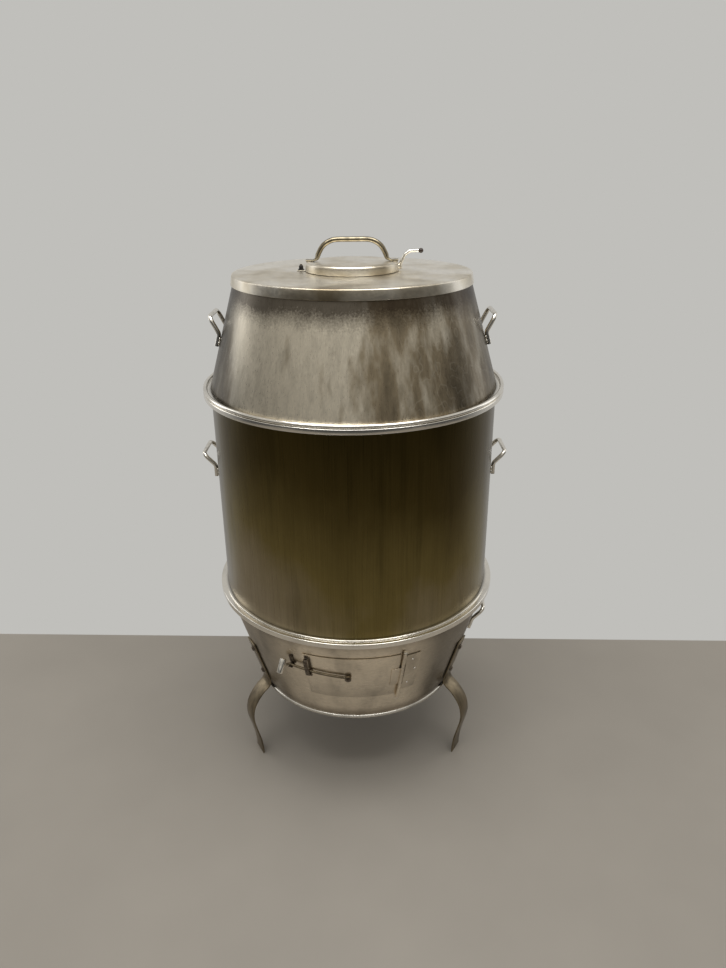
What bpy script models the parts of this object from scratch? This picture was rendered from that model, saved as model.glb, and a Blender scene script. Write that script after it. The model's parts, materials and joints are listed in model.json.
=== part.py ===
"""Charcoal barrel roasting oven: a stainless fire base on three strap legs, a double-walled
barrel, a conical hood and a lid with a swivelling vent cap.  Metres, +Z up, floor at z = 0,
the oven's axis on Z and its fire door facing -Y."""
import math

import bmesh
import bpy
from mathutils import Matrix, Vector

# --------------------------------------------------------------------------- driving sizes
SEGMENTS = 48            # steps round every large turned piece
GAP = 0.0003             # what touching pieces keep between them
SHEET = 0.002            # shell sheet
FLANGE_PLATE = 0.002     # folded flange sheet
THIN_SHEET = 0.0015      # pans and trays

FLANGE_R = 0.400         # the three stacked flanges
BARREL_R = 0.380         # outside of the straight barrel
WALL_DEPTH = 0.025       # outer shell to inner liner, outside to outside
BASE_FLANGE_INNER = 0.349    # the flanges reach in over the liners
UPPER_FLANGE_INNER = 0.351
FOOT_RING_INNER = 0.335      # ring that the barrel stands on
FOOT_RING_OUTER = 0.388
FOOT_RING_THICK = 0.004

RIM_R = 0.3035           # rolled rim under the fire base
RIM_LOW = 0.230
RIM_HIGH = 0.2417
RIM_INNER = 0.291
RIM_CORNER = 0.003
BASE_LOW_R = 0.2985      # fire base cone, outside
BASE_LOW = 0.2420
BASE_TOP_R = 0.3838
BASE_FLANGE_LOW = 0.536
BASE_FLANGE_TOP = 0.550

BARREL_FLANGE_LOW = 1.1103
BARREL_FLANGE_TOP = 1.1233
HOOD_FLANGE_TOP = 1.1336
HOOD_LOW_R = 0.3818      # hood cone, outside
HOOD_TOP_R = 0.2985
HOOD_TOP = 1.4085

LID_UNDER = 1.4111
LID_TOP = 1.4130
LID_R = 0.3056
LID_SKIRT_LOW = 1.388
LID_SKIRT_R = 0.309
VENT_HOLE_R = 0.090

CAP_LOW = 1.4143
CAP_TOP = 1.4360
CAP_R = 0.119
PIVOT_X = -0.130         # the bolt that the vent cap turns on
BOLT_R = 0.0030
BOLT_HOLE_R = 0.0035

DOOR_WEST = -22.5        # door edges, degrees round from the front
DOOR_EAST = 18.9
DOOR_LOW = 0.325
DOOR_TOP = 0.484
DOOR_LAP = 2.2           # how far the door laps over its opening, degrees
DOOR_LAP_Z = 0.012
HINGE_AT = 20.3
HINGE_LOW = 0.309
HINGE_TOP = 0.488
HINGE_STAND_OFF = 0.0065
PIN_R = 0.0025
KNUCKLE_R = 0.0050

LEG_AT = {"left": -61.0, "right": 61.0, "rear": 180.0}
LEG_WIDTH = 0.052
LEG_THICK = 0.004
FOOT_R = 0.344           # middle of the strap where it stands on the floor


# --------------------------------------------------------------------------- small helpers
def material(name, colour, roughness, metallic=1.0):
    """A plain Principled material of one colour."""
    mat = bpy.data.materials.new(name)
    mat.use_nodes = True
    shader = mat.node_tree.nodes["Principled BSDF"]
    shader.inputs["Base Color"].default_value = (*colour, 1.0)
    shader.inputs["Roughness"].default_value = roughness
    shader.inputs["Metallic"].default_value = metallic
    return mat


STEEL = (0.52, 0.49, 0.43)
WARM_STEEL = (0.46, 0.38, 0.26)
BRIGHT_STEEL = (0.72, 0.70, 0.66)
DARK_STEEL = (0.16, 0.14, 0.12)
BLACK = (0.03, 0.03, 0.03)


def finish(obj, colour=STEEL, roughness=0.35, metallic=1.0, smooth=True):
    """Give an object its own material and smooth its round faces."""
    obj.data.materials.clear()
    obj.data.materials.append(material(obj.name + "_finish", colour, roughness, metallic))
    if smooth and obj.type == "MESH":
        obj.data.shade_smooth()
        obj.data.set_sharp_from_angle(angle=math.radians(35.0))
    return obj


def from_bmesh(name, bm):
    """Turn a bmesh into a linked object with its faces pointing out."""
    bmesh.ops.remove_doubles(bm, verts=bm.verts, dist=0.00001)
    bmesh.ops.recalc_face_normals(bm, faces=bm.faces)
    mesh = bpy.data.meshes.new(name)
    bm.to_mesh(mesh)
    bm.free()
    obj = bpy.data.objects.new(name, mesh)
    bpy.context.collection.objects.link(obj)
    return obj


def turned(name, profile, steps=SEGMENTS):
    """Spin a closed (radius, height) outline round the oven's axis."""
    bm = bmesh.new()
    verts = [bm.verts.new((r, 0.0, z)) for r, z in profile]
    on_axis = [r < 1e-9 for r, _ in profile]
    edges = []
    for i, vert in enumerate(verts):
        following = (i + 1) % len(verts)
        if on_axis[i] and on_axis[following]:
            continue
        edges.append(bm.edges.new((vert, verts[following])))
    bmesh.ops.spin(bm, geom=verts + edges, axis=(0, 0, 1), cent=(0, 0, 0),
                   angle=2 * math.pi, steps=steps, use_merge=True, use_duplicate=False)
    return from_bmesh(name, bm)


def direction(azimuth):
    """Unit vector straight out from the axis; 0 degrees is the front, positive to the right."""
    angle = math.radians(azimuth)
    return Vector((math.sin(angle), -math.cos(angle), 0.0))


def base_radius(z):
    """Outside radius of the fire base cone at a height."""
    return BASE_LOW_R + (BASE_TOP_R - BASE_LOW_R) * (z - BASE_LOW) / (BASE_FLANGE_LOW - BASE_LOW)


def hood_radius(z):
    """Outside radius of the hood cone at a height."""
    share = (z - BARREL_FLANGE_TOP) / (HOOD_TOP - BARREL_FLANGE_TOP)
    return HOOD_LOW_R + (HOOD_TOP_R - HOOD_LOW_R) * share


def barrel_radius(z):
    return BARREL_R


def on_base(azimuth, z, off):
    """Point standing off the fire base cone."""
    return direction(azimuth) * (base_radius(z) + off) + Vector((0, 0, z))


def base_normal(azimuth):
    """Outward unit normal of the fire base cone: it faces a little downward."""
    slope = (BASE_TOP_R - BASE_LOW_R) / (BASE_FLANGE_LOW - BASE_LOW)
    return (direction(azimuth) - Vector((0, 0, slope))).normalized()


def base_patch(name, west, east, low, top, inner, outer, steps=8):
    """Curved plate that follows the fire base cone between two azimuths and two heights."""
    bm = bmesh.new()
    rows = []
    for z, off in ((low, inner), (low, outer), (top, outer), (top, inner)):
        rows.append([bm.verts.new(on_base(west + (east - west) * i / steps, z, off))
                     for i in range(steps + 1)])
    for a in range(4):
        b = (a + 1) % 4
        for i in range(steps):
            bm.faces.new((rows[a][i], rows[a][i + 1], rows[b][i + 1], rows[b][i]))
    bm.faces.new([row[0] for row in rows])
    bm.faces.new([row[-1] for row in reversed(rows)])
    return from_bmesh(name, bm)


def rod_between(name, start, end, radius, sides=12):
    """Straight round bar from one point to another."""
    start, end = Vector(start), Vector(end)
    along = end - start
    bm = bmesh.new()
    bmesh.ops.create_cone(bm, cap_ends=True, segments=sides, radius1=radius, radius2=radius,
                          depth=along.length)
    turn = Vector((0, 0, 1)).rotation_difference(along).to_matrix().to_4x4()
    bmesh.ops.transform(bm, matrix=Matrix.Translation((start + end) / 2) @ turn, verts=bm.verts)
    return from_bmesh(name, bm)


def rounded_path(points, radius, steps=4):
    """The points with each inner corner replaced by an arc."""
    points = [Vector(p) for p in points]
    path = [points[0]]
    for before, corner, after in zip(points, points[1:], points[2:]):
        a = (before - corner).normalized()
        b = (after - corner).normalized()
        half = a.angle(b) / 2
        reach = min(radius / math.tan(half), 0.48 * (before - corner).length,
                    0.48 * (after - corner).length)
        arc = reach * math.tan(half)
        centre = corner + (a + b).normalized() * math.hypot(reach, arc)
        start = corner + a * reach - centre
        end = corner + b * reach - centre
        turn = start.angle(end)
        for i in range(steps + 1):
            share = i / steps
            mix = (start * math.sin((1 - share) * turn) + end * math.sin(share * turn))
            path.append(centre + mix / math.sin(turn))
    path.append(points[-1])
    return path


def bar(name, path, radius, resolution=2):
    """Round bar along a path, as a bevelled curve with closed ends."""
    curve = bpy.data.curves.new(name, "CURVE")
    curve.dimensions = "3D"
    curve.bevel_depth = radius
    curve.bevel_resolution = resolution
    curve.use_fill_caps = True
    spline = curve.splines.new("POLY")
    spline.points.add(len(path) - 1)
    for point, place in zip(spline.points, path):
        point.co = (*place, 1.0)
    obj = bpy.data.objects.new(name, curve)
    bpy.context.collection.objects.link(obj)
    return obj


def solid_bar(name, path, radius, sides=8):
    """Round bar along a path as a mesh, for shapes that a Boolean joins."""
    bm = bmesh.new()
    rings = []
    across = Vector((0, 0, 1))
    for i, place in enumerate(path):
        along = (path[min(i + 1, len(path) - 1)] - path[max(i - 1, 0)]).normalized()
        across = (across - along * across.dot(along)).normalized()
        third = along.cross(across)
        turns = [2 * math.pi * j / sides for j in range(sides)]
        rings.append([bm.verts.new(place + (across * math.cos(a) + third * math.sin(a)) * radius)
                      for a in turns])
    for a, b in zip(rings, rings[1:]):
        for j in range(sides):
            k = (j + 1) % sides
            bm.faces.new((a[j], a[k], b[k], b[j]))
    bm.faces.new(rings[0])
    bm.faces.new(list(reversed(rings[-1])))
    return from_bmesh(name, bm)


def swept_plate(name, path, half_width, sideways):
    """Bent strip: a closed outline of points, swept half its width to either side."""
    bm = bmesh.new()
    near = [bm.verts.new(p - sideways * half_width) for p in path]
    far = [bm.verts.new(p + sideways * half_width) for p in path]
    bm.faces.new(near)
    bm.faces.new(list(reversed(far)))
    count = len(path)
    for i in range(count):
        j = (i + 1) % count
        bm.faces.new((near[j], near[i], far[i], far[j]))
    return from_bmesh(name, bm)


def as_tool(obj):
    """Mark an object as a cutter or a guide for another."""
    obj.hide_render = True
    obj.display_type = "WIRE"
    return obj


def combine(obj, tool, operation):
    """Add a Boolean modifier that uses the tool."""
    as_tool(tool)
    modifier = obj.modifiers.new(operation.lower(), "BOOLEAN")
    modifier.operation = operation
    modifier.solver = "EXACT"
    modifier.object = tool
    return obj


def hang_on(children, name, place):
    """Parent pieces to an empty that stands on their joint's axis."""
    empty = bpy.data.objects.new(name, None)
    empty.location = place
    bpy.context.collection.objects.link(empty)
    for child in children:
        child.parent = empty
        child.matrix_parent_inverse = Matrix.Translation(-Vector(place))
    return empty


# --------------------------------------------------------------------------- fire base
def make_door_wedge(name):
    """Wedge through both walls of the base, the size of the door opening."""
    inside, outside = -0.060, 0.030
    return base_patch(name, DOOR_WEST + DOOR_LAP, DOOR_EAST - DOOR_LAP, DOOR_LOW + DOOR_LAP_Z,
                      DOOR_TOP - DOOR_LAP_Z, inside, outside, steps=12)


def make_base():
    """Rolled rim, outer cone, floor, inner cone and folded top flange."""
    rim = turned("base_bottom_rim", [
        (RIM_INNER, RIM_LOW), (RIM_R - RIM_CORNER, RIM_LOW), (RIM_R, RIM_LOW + RIM_CORNER),
        (RIM_R, RIM_HIGH - RIM_CORNER), (RIM_R - RIM_CORNER, RIM_HIGH), (RIM_INNER, RIM_HIGH)])
    finish(rim, BRIGHT_STEEL, 0.28)

    shell_top = BASE_FLANGE_TOP - FLANGE_PLATE - GAP
    shell = turned("base_outer_shell", [
        (BASE_LOW_R, BASE_LOW), (base_radius(shell_top), shell_top),
        (base_radius(shell_top) - SHEET, shell_top), (BASE_LOW_R - SHEET, BASE_LOW)])
    combine(shell, make_door_wedge("door_opening_cutter"), "DIFFERENCE")
    finish(shell, STEEL, 0.33)

    floor_top = BASE_LOW + SHEET
    floor_r = BASE_LOW_R - SHEET - 0.001
    floor = turned("base_floor_plate", [
        (0.0, BASE_LOW), (floor_r, BASE_LOW), (floor_r, floor_top), (0.0, floor_top)])
    finish(floor, DARK_STEEL, 0.5)

    liner_low = floor_top + GAP
    liner = turned("base_inner_liner", [
        (base_radius(liner_low) - WALL_DEPTH, liner_low),
        (base_radius(shell_top) - WALL_DEPTH, shell_top),
        (base_radius(shell_top) - WALL_DEPTH - SHEET, shell_top),
        (base_radius(liner_low) - WALL_DEPTH - SHEET, liner_low)])
    combine(liner, make_door_wedge("liner_opening_cutter"), "DIFFERENCE")
    finish(liner, DARK_STEEL, 0.5)

    plate_low = BASE_FLANGE_TOP - FLANGE_PLATE
    flange = turned("base_top_flange", [
        (BASE_FLANGE_INNER, plate_low), (FLANGE_R - SHEET, plate_low),
        (FLANGE_R - SHEET, BASE_FLANGE_LOW), (FLANGE_R, BASE_FLANGE_LOW),
        (FLANGE_R, BASE_FLANGE_TOP), (BASE_FLANGE_INNER, BASE_FLANGE_TOP)])
    finish(flange, BRIGHT_STEEL, 0.25)


def make_door_jamb():
    """Sheet tunnel that closes the gap between the two walls round the door opening."""
    margin_degrees = 0.35    # sheet thickness at the sides, and below at top and bottom
    margin_z = 0.002
    past_faces = 0.02
    west = DOOR_WEST + DOOR_LAP
    east = DOOR_EAST - DOOR_LAP
    low = DOOR_LOW + DOOR_LAP_Z
    top = DOOR_TOP - DOOR_LAP_Z
    inner = -WALL_DEPTH + 0.0009    # clear of the liner and of the outer shell
    outer = -SHEET - 0.0012
    jamb = base_patch("door_jamb", west - margin_degrees, east + margin_degrees,
                      low - margin_z, top + margin_z, inner, outer, steps=12)
    hole = base_patch("door_jamb_cutter", west, east, low, top, inner - past_faces,
                      outer + past_faces, steps=12)
    combine(jamb, hole, "DIFFERENCE")
    finish(jamb, DARK_STEEL, 0.5, smooth=False)


def make_grate():
    """Round fire grate: a flat ring crossed by parallel bars."""
    low, top = 0.298, 0.306
    clearance = 0.0012
    outer = base_radius(low) - WALL_DEPTH - SHEET - clearance
    ring_width = 0.018
    bar_width = 0.010
    bar_drop = 0.001         # how much thinner the bars are than the ring
    pitch = 0.040
    grate = turned("charcoal_grate", [(outer - ring_width, low), (outer, low),
                                      (outer, top), (outer - ring_width, top)])
    reach = outer - ring_width / 2
    count = int(reach / pitch)
    bars = bmesh.new()
    for i in range(-count, count + 1):
        x = i * pitch
        half = math.sqrt(reach ** 2 - x ** 2)
        size = Matrix.Diagonal((bar_width, 2 * half, top - low - bar_drop, 1.0))
        bmesh.ops.create_cube(bars, size=1.0,
                              matrix=Matrix.Translation((x, 0, (low + top) / 2)) @ size)
    combine(grate, from_bmesh("grate_bars_guide", bars), "UNION")
    finish(grate, BLACK, 0.7, smooth=False)


def make_ash_pan():
    """Shallow pan with a sloping side and a flat lip, resting on the floor plate."""
    low = BASE_LOW + SHEET + GAP
    depth = 0.030
    floor_r, mouth_r, lip_r = 0.215, 0.235, 0.243
    lip = low + depth
    pan = turned("ash_pan", [
        (0.0, low), (floor_r, low), (mouth_r, lip), (lip_r, lip), (lip_r, lip + THIN_SHEET),
        (mouth_r - 0.001, lip + THIN_SHEET), (floor_r - 0.0011, low + THIN_SHEET),
        (0.0, low + THIN_SHEET)], steps=32)
    finish(pan, DARK_STEEL, 0.55)


# --------------------------------------------------------------------------- legs
def leg_outline(azimuth):
    """Outline of one strap leg: flat on the cone, out in a belly, in at the ankle, cut off square."""
    thick = LEG_THICK
    off_wall = 0.0009
    centre = []
    for z in (0.400, 0.300, 0.262):
        centre.append((base_radius(z) + off_wall + thick / 2, z))
    centre += [(0.3105, 0.2430), (0.3300, 0.2260), (0.3480, 0.2050), (0.3610, 0.1810),
               (0.3665, 0.1570), (0.3665, 0.1330), (0.3615, 0.1080), (0.3550, 0.0820),
               (0.3490, 0.0560), (0.3455, 0.0300), (FOOT_R, 0.0120), (FOOT_R, 0.0)]
    faces = []
    for i, here in enumerate(centre):
        before = centre[max(i - 1, 0)]
        after = centre[min(i + 1, len(centre) - 1)]
        along = Vector((after[0] - before[0], after[1] - before[1])).normalized()
        faces.append((Vector(here), Vector((-along.y, along.x))))
    out = direction(azimuth)
    up = Vector((0, 0, 1))
    outer_side = [p + n * thick / 2 for p, n in faces]
    inner_side = [p - n * thick / 2 for p, n in faces]
    flat = outer_side + list(reversed(inner_side))
    return [out * p.x + up * p.y for p in flat]


def make_legs():
    """Three strap legs, each held by two hexagon bolts."""
    head_r, head_high = 0.0065, 0.005
    head_off = LEG_THICK + 0.0016
    for name, azimuth in LEG_AT.items():
        side = direction(azimuth + 90.0)
        leg = swept_plate("leg_" + name, leg_outline(azimuth), LEG_WIDTH / 2, side)
        finish(leg, STEEL, 0.4, smooth=False)
        normal = base_normal(azimuth)
        for place, z in (("upper", 0.375), ("lower", 0.290)):
            seat = on_base(azimuth, z, 0.0) + normal * head_off
            bolt = rod_between("leg_%s_bolt_%s" % (name, place), seat,
                               seat + normal * head_high, head_r, sides=6)
            finish(bolt, DARK_STEEL, 0.45, smooth=False)


# --------------------------------------------------------------------------- fire door
def hinge_point(z):
    """Point on the hinge pin, which lies along the slope of the base."""
    return on_base(HINGE_AT, z, HINGE_STAND_OFF)


def knuckle(name, low, top):
    return rod_between(name, hinge_point(low), hinge_point(top), KNUCKLE_R)


def bore(name, low, top):
    return rod_between(name, hinge_point(low), hinge_point(top), PIN_R + 0.0004)


MIDDLE_LOW = HINGE_LOW + (HINGE_TOP - HINGE_LOW) * 0.30
MIDDLE_TOP = HINGE_LOW + (HINGE_TOP - HINGE_LOW) * 0.70


def make_hinge():
    """Headed pin, the leaf on the wall with its two knuckles, and three rivets."""
    pin = rod_between("door_hinge_pin", hinge_point(HINGE_LOW - 0.006),
                      hinge_point(HINGE_TOP + 0.0012), PIN_R)
    head = rod_between("hinge_pin_head_guide", hinge_point(HINGE_TOP + 0.0010),
                       hinge_point(HINGE_TOP + 0.0055), KNUCKLE_R)
    combine(pin, head, "UNION")
    finish(pin, BRIGHT_STEEL, 0.3, smooth=False)

    ends = ((HINGE_LOW, MIDDLE_LOW), (MIDDLE_TOP, HINGE_TOP))
    fixed = base_patch("hinge_fixed_leaf", HINGE_AT + 1.6, HINGE_AT + 8.2, DOOR_LOW + 0.012,
                       DOOR_TOP - 0.010, 0.0011, 0.0031, steps=3)
    for i, (low, top) in enumerate(ends):
        link_low = max(low + 0.003, DOOR_LOW + 0.016)
        link_top = min(top - 0.003, DOOR_TOP - 0.014)
        link = base_patch("hinge_link_guide_%d" % i, HINGE_AT + 0.1, HINGE_AT + 1.9,
                          link_low, link_top, 0.0016, 0.0027, steps=1)
        combine(fixed, link, "UNION")
        combine(fixed, knuckle("hinge_knuckle_guide_%d" % i, low, top), "UNION")
    combine(fixed, bore("hinge_bore_cutter", HINGE_LOW - 0.02, HINGE_TOP + 0.02), "DIFFERENCE")
    finish(fixed, STEEL, 0.35, smooth=False)

    rivet_r, rivet_high, rivet_off = 0.0036, 0.0022, 0.0035
    for i, (azimuth, z) in enumerate(((24.6, 0.456), (26.6, 0.414), (24.2, 0.362))):
        normal = base_normal(azimuth)
        seat = on_base(azimuth, z, 0.0) + normal * rivet_off
        rivet = rod_between("hinge_rivet_%d" % (i + 1), seat, seat + normal * rivet_high, rivet_r, 8)
        finish(rivet, BRIGHT_STEEL, 0.35, smooth=False)


def make_fire_door():
    """Curved door panel with its hinge leaf, latch guide and latch bolt."""
    panel = base_patch("fire_door", DOOR_WEST, DOOR_EAST, DOOR_LOW, DOOR_TOP, 0.0012, 0.0032, 10)
    finish(panel, STEEL, 0.35, smooth=False)

    strap = base_patch("door_hinge_leaf", DOOR_EAST - 2.6, HINGE_AT - 0.1, MIDDLE_LOW + 0.0015,
                       MIDDLE_TOP - 0.0015, 0.0040, 0.0055, steps=2)
    combine(strap, knuckle("door_knuckle_guide", MIDDLE_LOW + 0.0008, MIDDLE_TOP - 0.0008), "UNION")
    combine(strap, bore("door_bore_cutter", MIDDLE_LOW - 0.01, MIDDLE_TOP + 0.01), "DIFFERENCE")
    finish(strap, STEEL, 0.35, smooth=False)

    empty_at = hinge_point((HINGE_LOW + HINGE_TOP) / 2)
    guide = make_latch_guide()
    bolt = make_latch_bolt()
    pieces = [panel, strap, guide, bolt]
    hang_on(pieces, "fire_door_axis", empty_at)


# --------------------------------------------------------------------------- door latch
LATCH_AT = -3.3
LATCH_Z = 0.415
LATCH_OFF = 0.0095       # rod centre from the base cone
LATCH_ROD_R = 0.0035
LATCH_EYE_R = 0.0090
LATCH_EYE_HOLE_R = 0.0039
LATCH_CLIMB = 0.017      # how much higher the bar is at the catch than at its eye
GUIDE_AT = -20.6
CATCH_AT = -28.6
LATCH_END_AT = -30.2     # where the bar stops, just short of the knob
KNOB_AT = -31.4
KNOB_R = 0.0085
KNOB_HALF = 0.020
KNOB_OFF = 0.028         # knob centre from the base cone
KNOB_LEAN = 30.0         # the knob hangs across the bar, its foot leaning out, degrees


def latch_height(azimuth):
    """Height of the latch rod along its run: it climbs a little to the left."""
    share = min((LATCH_AT - azimuth) / (LATCH_AT - CATCH_AT), 1.0)
    return LATCH_Z + LATCH_CLIMB * share


def latch_point(azimuth):
    """Centre of the latch bar, which bends away from the wall past the catch."""
    bend_at = CATCH_AT - 0.7
    past_catch = max(0.0, (bend_at - azimuth) / (bend_at - KNOB_AT))
    return on_base(azimuth, latch_height(azimuth), LATCH_OFF + (KNOB_OFF - LATCH_OFF) * past_catch)


def make_latch():
    """Latch bar that follows the door's curve, with an eye at its pivot and a knob at its end."""
    steps = 16
    start = LATCH_AT - 1.2
    path = [latch_point(start + (LATCH_END_AT - start) * i / steps) for i in range(steps + 1)]
    normal = base_normal(LATCH_AT)
    centre = on_base(LATCH_AT, LATCH_Z, 0.0) + normal * LATCH_OFF
    half = 0.0032
    latch = rod_between("latch_rod", centre - normal * half, centre + normal * half, LATCH_EYE_R, 16)
    combine(latch, solid_bar("latch_bar_guide", path, LATCH_ROD_R), "UNION")
    combine(latch, rod_between("latch_eye_cutter", centre - normal * 0.02, centre + normal * 0.02,
                               LATCH_EYE_HOLE_R, 12), "DIFFERENCE")
    finish(latch, STEEL, 0.35, smooth=False)

    lean = math.radians(KNOB_LEAN)
    along = direction(KNOB_AT) * math.sin(lean) - Vector((0, 0, math.cos(lean)))
    middle = latch_point(KNOB_AT)
    knob = rod_between("latch_knob", middle - along * KNOB_HALF, middle + along * KNOB_HALF, KNOB_R, 16)
    finish(knob, BRIGHT_STEEL, 0.15)
    hang_on([latch, knob], "latch_axis", centre)


def make_latch_bolt():
    """Headed bolt that the latch eye turns on, standing on the door's face."""
    normal = base_normal(LATCH_AT)
    foot = on_base(LATCH_AT, LATCH_Z, 0.0) + normal * 0.0036
    shank = rod_between("latch_pivot_bolt", foot, foot + normal * 0.0100, 0.0034, 12)
    head = rod_between("latch_bolt_head_guide", foot + normal * 0.0096,
                       foot + normal * 0.0135, 0.0070, 6)
    combine(shank, head, "UNION")
    return finish(shank, DARK_STEEL, 0.4, smooth=False)


def make_latch_guide():
    """Strap loop near the door's free edge that the latch rod passes through."""
    z = latch_height(GUIDE_AT)
    low, top = z - 0.016, z + 0.042
    thick = 0.0022
    half_width = 0.006
    foot_length = 0.010
    foot = 0.0036
    stand = LATCH_OFF + LATCH_ROD_R + 0.0016
    wall_side = [(low - foot_length, foot), (low, foot), (low, stand), (top, stand), (top, foot),
                 (top + foot_length, foot)]
    open_side = [(low - foot_length, foot + thick), (low - thick, foot + thick),
                 (low - thick, stand + thick), (top + thick, stand + thick),
                 (top + thick, foot + thick), (top + foot_length, foot + thick)]
    outline = wall_side + list(reversed(open_side))
    points = [on_base(GUIDE_AT, height, off) for height, off in outline]
    guide = swept_plate("latch_guide", points, half_width, direction(GUIDE_AT + 90.0))
    return finish(guide, DARK_STEEL, 0.45, smooth=False)


def make_latch_catch():
    """Angle bracket on the base wall: a back plate with a shelf under the latch rod."""
    z = latch_height(CATCH_AT)
    back_in, back_out = 0.0014, 0.0036
    shelf_top = z - LATCH_ROD_R - 0.0015
    shelf_low = shelf_top - 0.003
    shelf_out = LATCH_OFF + 0.007
    back_top = z + 0.030
    half_width = 0.006
    outline = [(shelf_low, back_in), (back_top, back_in), (back_top, back_out),
               (shelf_top, back_out), (shelf_top, shelf_out), (shelf_low, shelf_out)]
    points = [on_base(CATCH_AT, height, off) for height, off in outline]
    catch = swept_plate("latch_catch", points, half_width, direction(CATCH_AT + 90.0))
    finish(catch, DARK_STEEL, 0.45, smooth=False)


# --------------------------------------------------------------------------- side handles
HANDLE_ROD_R = 0.0056
HANDLE_HALF_GRIP = 0.054
HANDLE_FOOT = 0.031      # upright stretch that is welded to the wall
HANDLE_BEND_R = 0.016
BASE_HANDLE_TURN = -4.7  # the base's handles sit a little forward of the upper ones, degrees


def side_handle(name, azimuth, foot_low, radius_at, reach, rise):
    """Bail handle of round bar: two upright feet on the wall, two rising legs, one grip."""
    half = HANDLE_HALF_GRIP
    out, along = direction(azimuth), direction(azimuth + 90.0)

    def place(side, z, extra):
        wall = radius_at(z) + HANDLE_ROD_R + 0.0008
        return (out * (math.sqrt(wall ** 2 - half ** 2) + extra) + along * (side * half)
                + Vector((0, 0, z)))

    foot_top = foot_low + HANDLE_FOOT
    route = [place(-1, foot_low, 0.0), place(-1, foot_top, 0.0)]
    slip = radius_at(foot_top) - radius_at(foot_top + rise)
    route.append(place(-1, foot_top + rise, reach + slip))
    route.append(place(1, foot_top + rise, reach + slip))
    route += [place(1, foot_top, 0.0), place(1, foot_low, 0.0)]
    path = rounded_path(route, HANDLE_BEND_R)
    finish(bar(name, path, HANDLE_ROD_R), BRIGHT_STEEL, 0.22)


def make_side_handles():
    """A pair of bail handles on the base, on the barrel and on the hood."""
    for side, turn in (("left", -90.0), ("right", 90.0)):
        side_handle("base_handle_" + side, turn + BASE_HANDLE_TURN, 0.384, base_radius, 0.031, 0.033)
        side_handle("barrel_handle_" + side, turn, 0.872, barrel_radius, 0.031, 0.033)
        side_handle("hood_handle_" + side, turn, 1.236, hood_radius, 0.023, 0.042)


# --------------------------------------------------------------------------- barrel
def make_barrel():
    """Double-walled barrel on its foot ring, with the folded flange that carries the hood."""
    foot_low = BASE_FLANGE_TOP + GAP
    foot_top = foot_low + FOOT_RING_THICK
    foot = turned("barrel_foot_ring", [
        (FOOT_RING_INNER, foot_low), (FOOT_RING_OUTER, foot_low),
        (FOOT_RING_OUTER, foot_top), (FOOT_RING_INNER, foot_top)])
    finish(foot, BRIGHT_STEEL, 0.25)

    low = foot_top + GAP
    top = BARREL_FLANGE_TOP - FLANGE_PLATE - GAP
    shell = turned("barrel_outer_shell", [
        (BARREL_R, low), (BARREL_R, top), (BARREL_R - SHEET, top), (BARREL_R - SHEET, low)])
    finish(shell, WARM_STEEL, 0.3)
    liner_r = BARREL_R - WALL_DEPTH
    liner = turned("barrel_inner_liner", [
        (liner_r, low), (liner_r, top), (liner_r - SHEET, top), (liner_r - SHEET, low)])
    finish(liner, DARK_STEEL, 0.5)

    plate_low = BARREL_FLANGE_TOP - FLANGE_PLATE
    flange = turned("barrel_top_flange", [
        (UPPER_FLANGE_INNER, plate_low), (FLANGE_R - SHEET, plate_low),
        (FLANGE_R - SHEET, BARREL_FLANGE_LOW), (FLANGE_R, BARREL_FLANGE_LOW),
        (FLANGE_R, BARREL_FLANGE_TOP), (UPPER_FLANGE_INNER, BARREL_FLANGE_TOP)])
    finish(flange, STEEL, 0.35)
    make_drip_tray(low)
    make_rack(liner_r - SHEET)


def make_drip_tray(low):
    """Ring-shaped gutter that catches fat and leaves the fire's heat a way up the middle."""
    inner, outer = 0.1700, 0.3495
    top = low + 0.028
    floor = low + THIN_SHEET
    tray = turned("drip_tray", [
        (inner, low), (outer, low), (outer, top), (outer - THIN_SHEET, top),
        (outer - THIN_SHEET, floor), (inner + THIN_SHEET, floor), (inner + THIN_SHEET, top),
        (inner, top)])
    finish(tray, DARK_STEEL, 0.45)


def make_rack(wall_r):
    """Hanging rack: a ring of round bar with three crossing bars, on three lugs."""
    z = 1.090
    rod = 0.005
    ring_r = wall_r - 0.012
    ring = [(ring_r + rod * math.cos(a), z + rod * math.sin(a))
            for a in (math.radians(45 * i) for i in range(8))]
    rack = turned("hanging_rack", ring)
    for i in range(3):
        # each bar is a little thinner and higher than the last, so their faces never coincide
        out = direction(60.0 * i + 32.0) * ring_r
        lift = Vector((0, 0, z + 0.0004 * (i - 1)))
        bar_r = rod * (0.93 - 0.06 * i)
        combine(rack, rod_between("rack_bar_guide_%d" % i, lift - out, lift + out, bar_r, 7), "UNION")
    finish(rack, STEEL, 0.4, smooth=False)

    width, depth, thick = 0.022, 0.024, 0.004
    wall_clearance = 0.0015
    lug_z = z - rod - GAP - thick / 2
    for i in range(3):
        azimuth = 120.0 * i + 60.0
        out, along = direction(azimuth), direction(azimuth + 90.0)
        bm = bmesh.new()
        size = Matrix.Diagonal((width, depth, thick, 1.0))
        turn = Matrix((along, out, Vector((0, 0, 1)))).transposed().to_4x4()
        centre = out * (wall_r - depth / 2 - wall_clearance) + Vector((0, 0, lug_z))
        bmesh.ops.create_cube(bm, size=1.0, matrix=Matrix.Translation(centre) @ turn @ size)
        finish(from_bmesh("rack_lug_%d" % (i + 1), bm), DARK_STEEL, 0.5, smooth=False)


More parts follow.
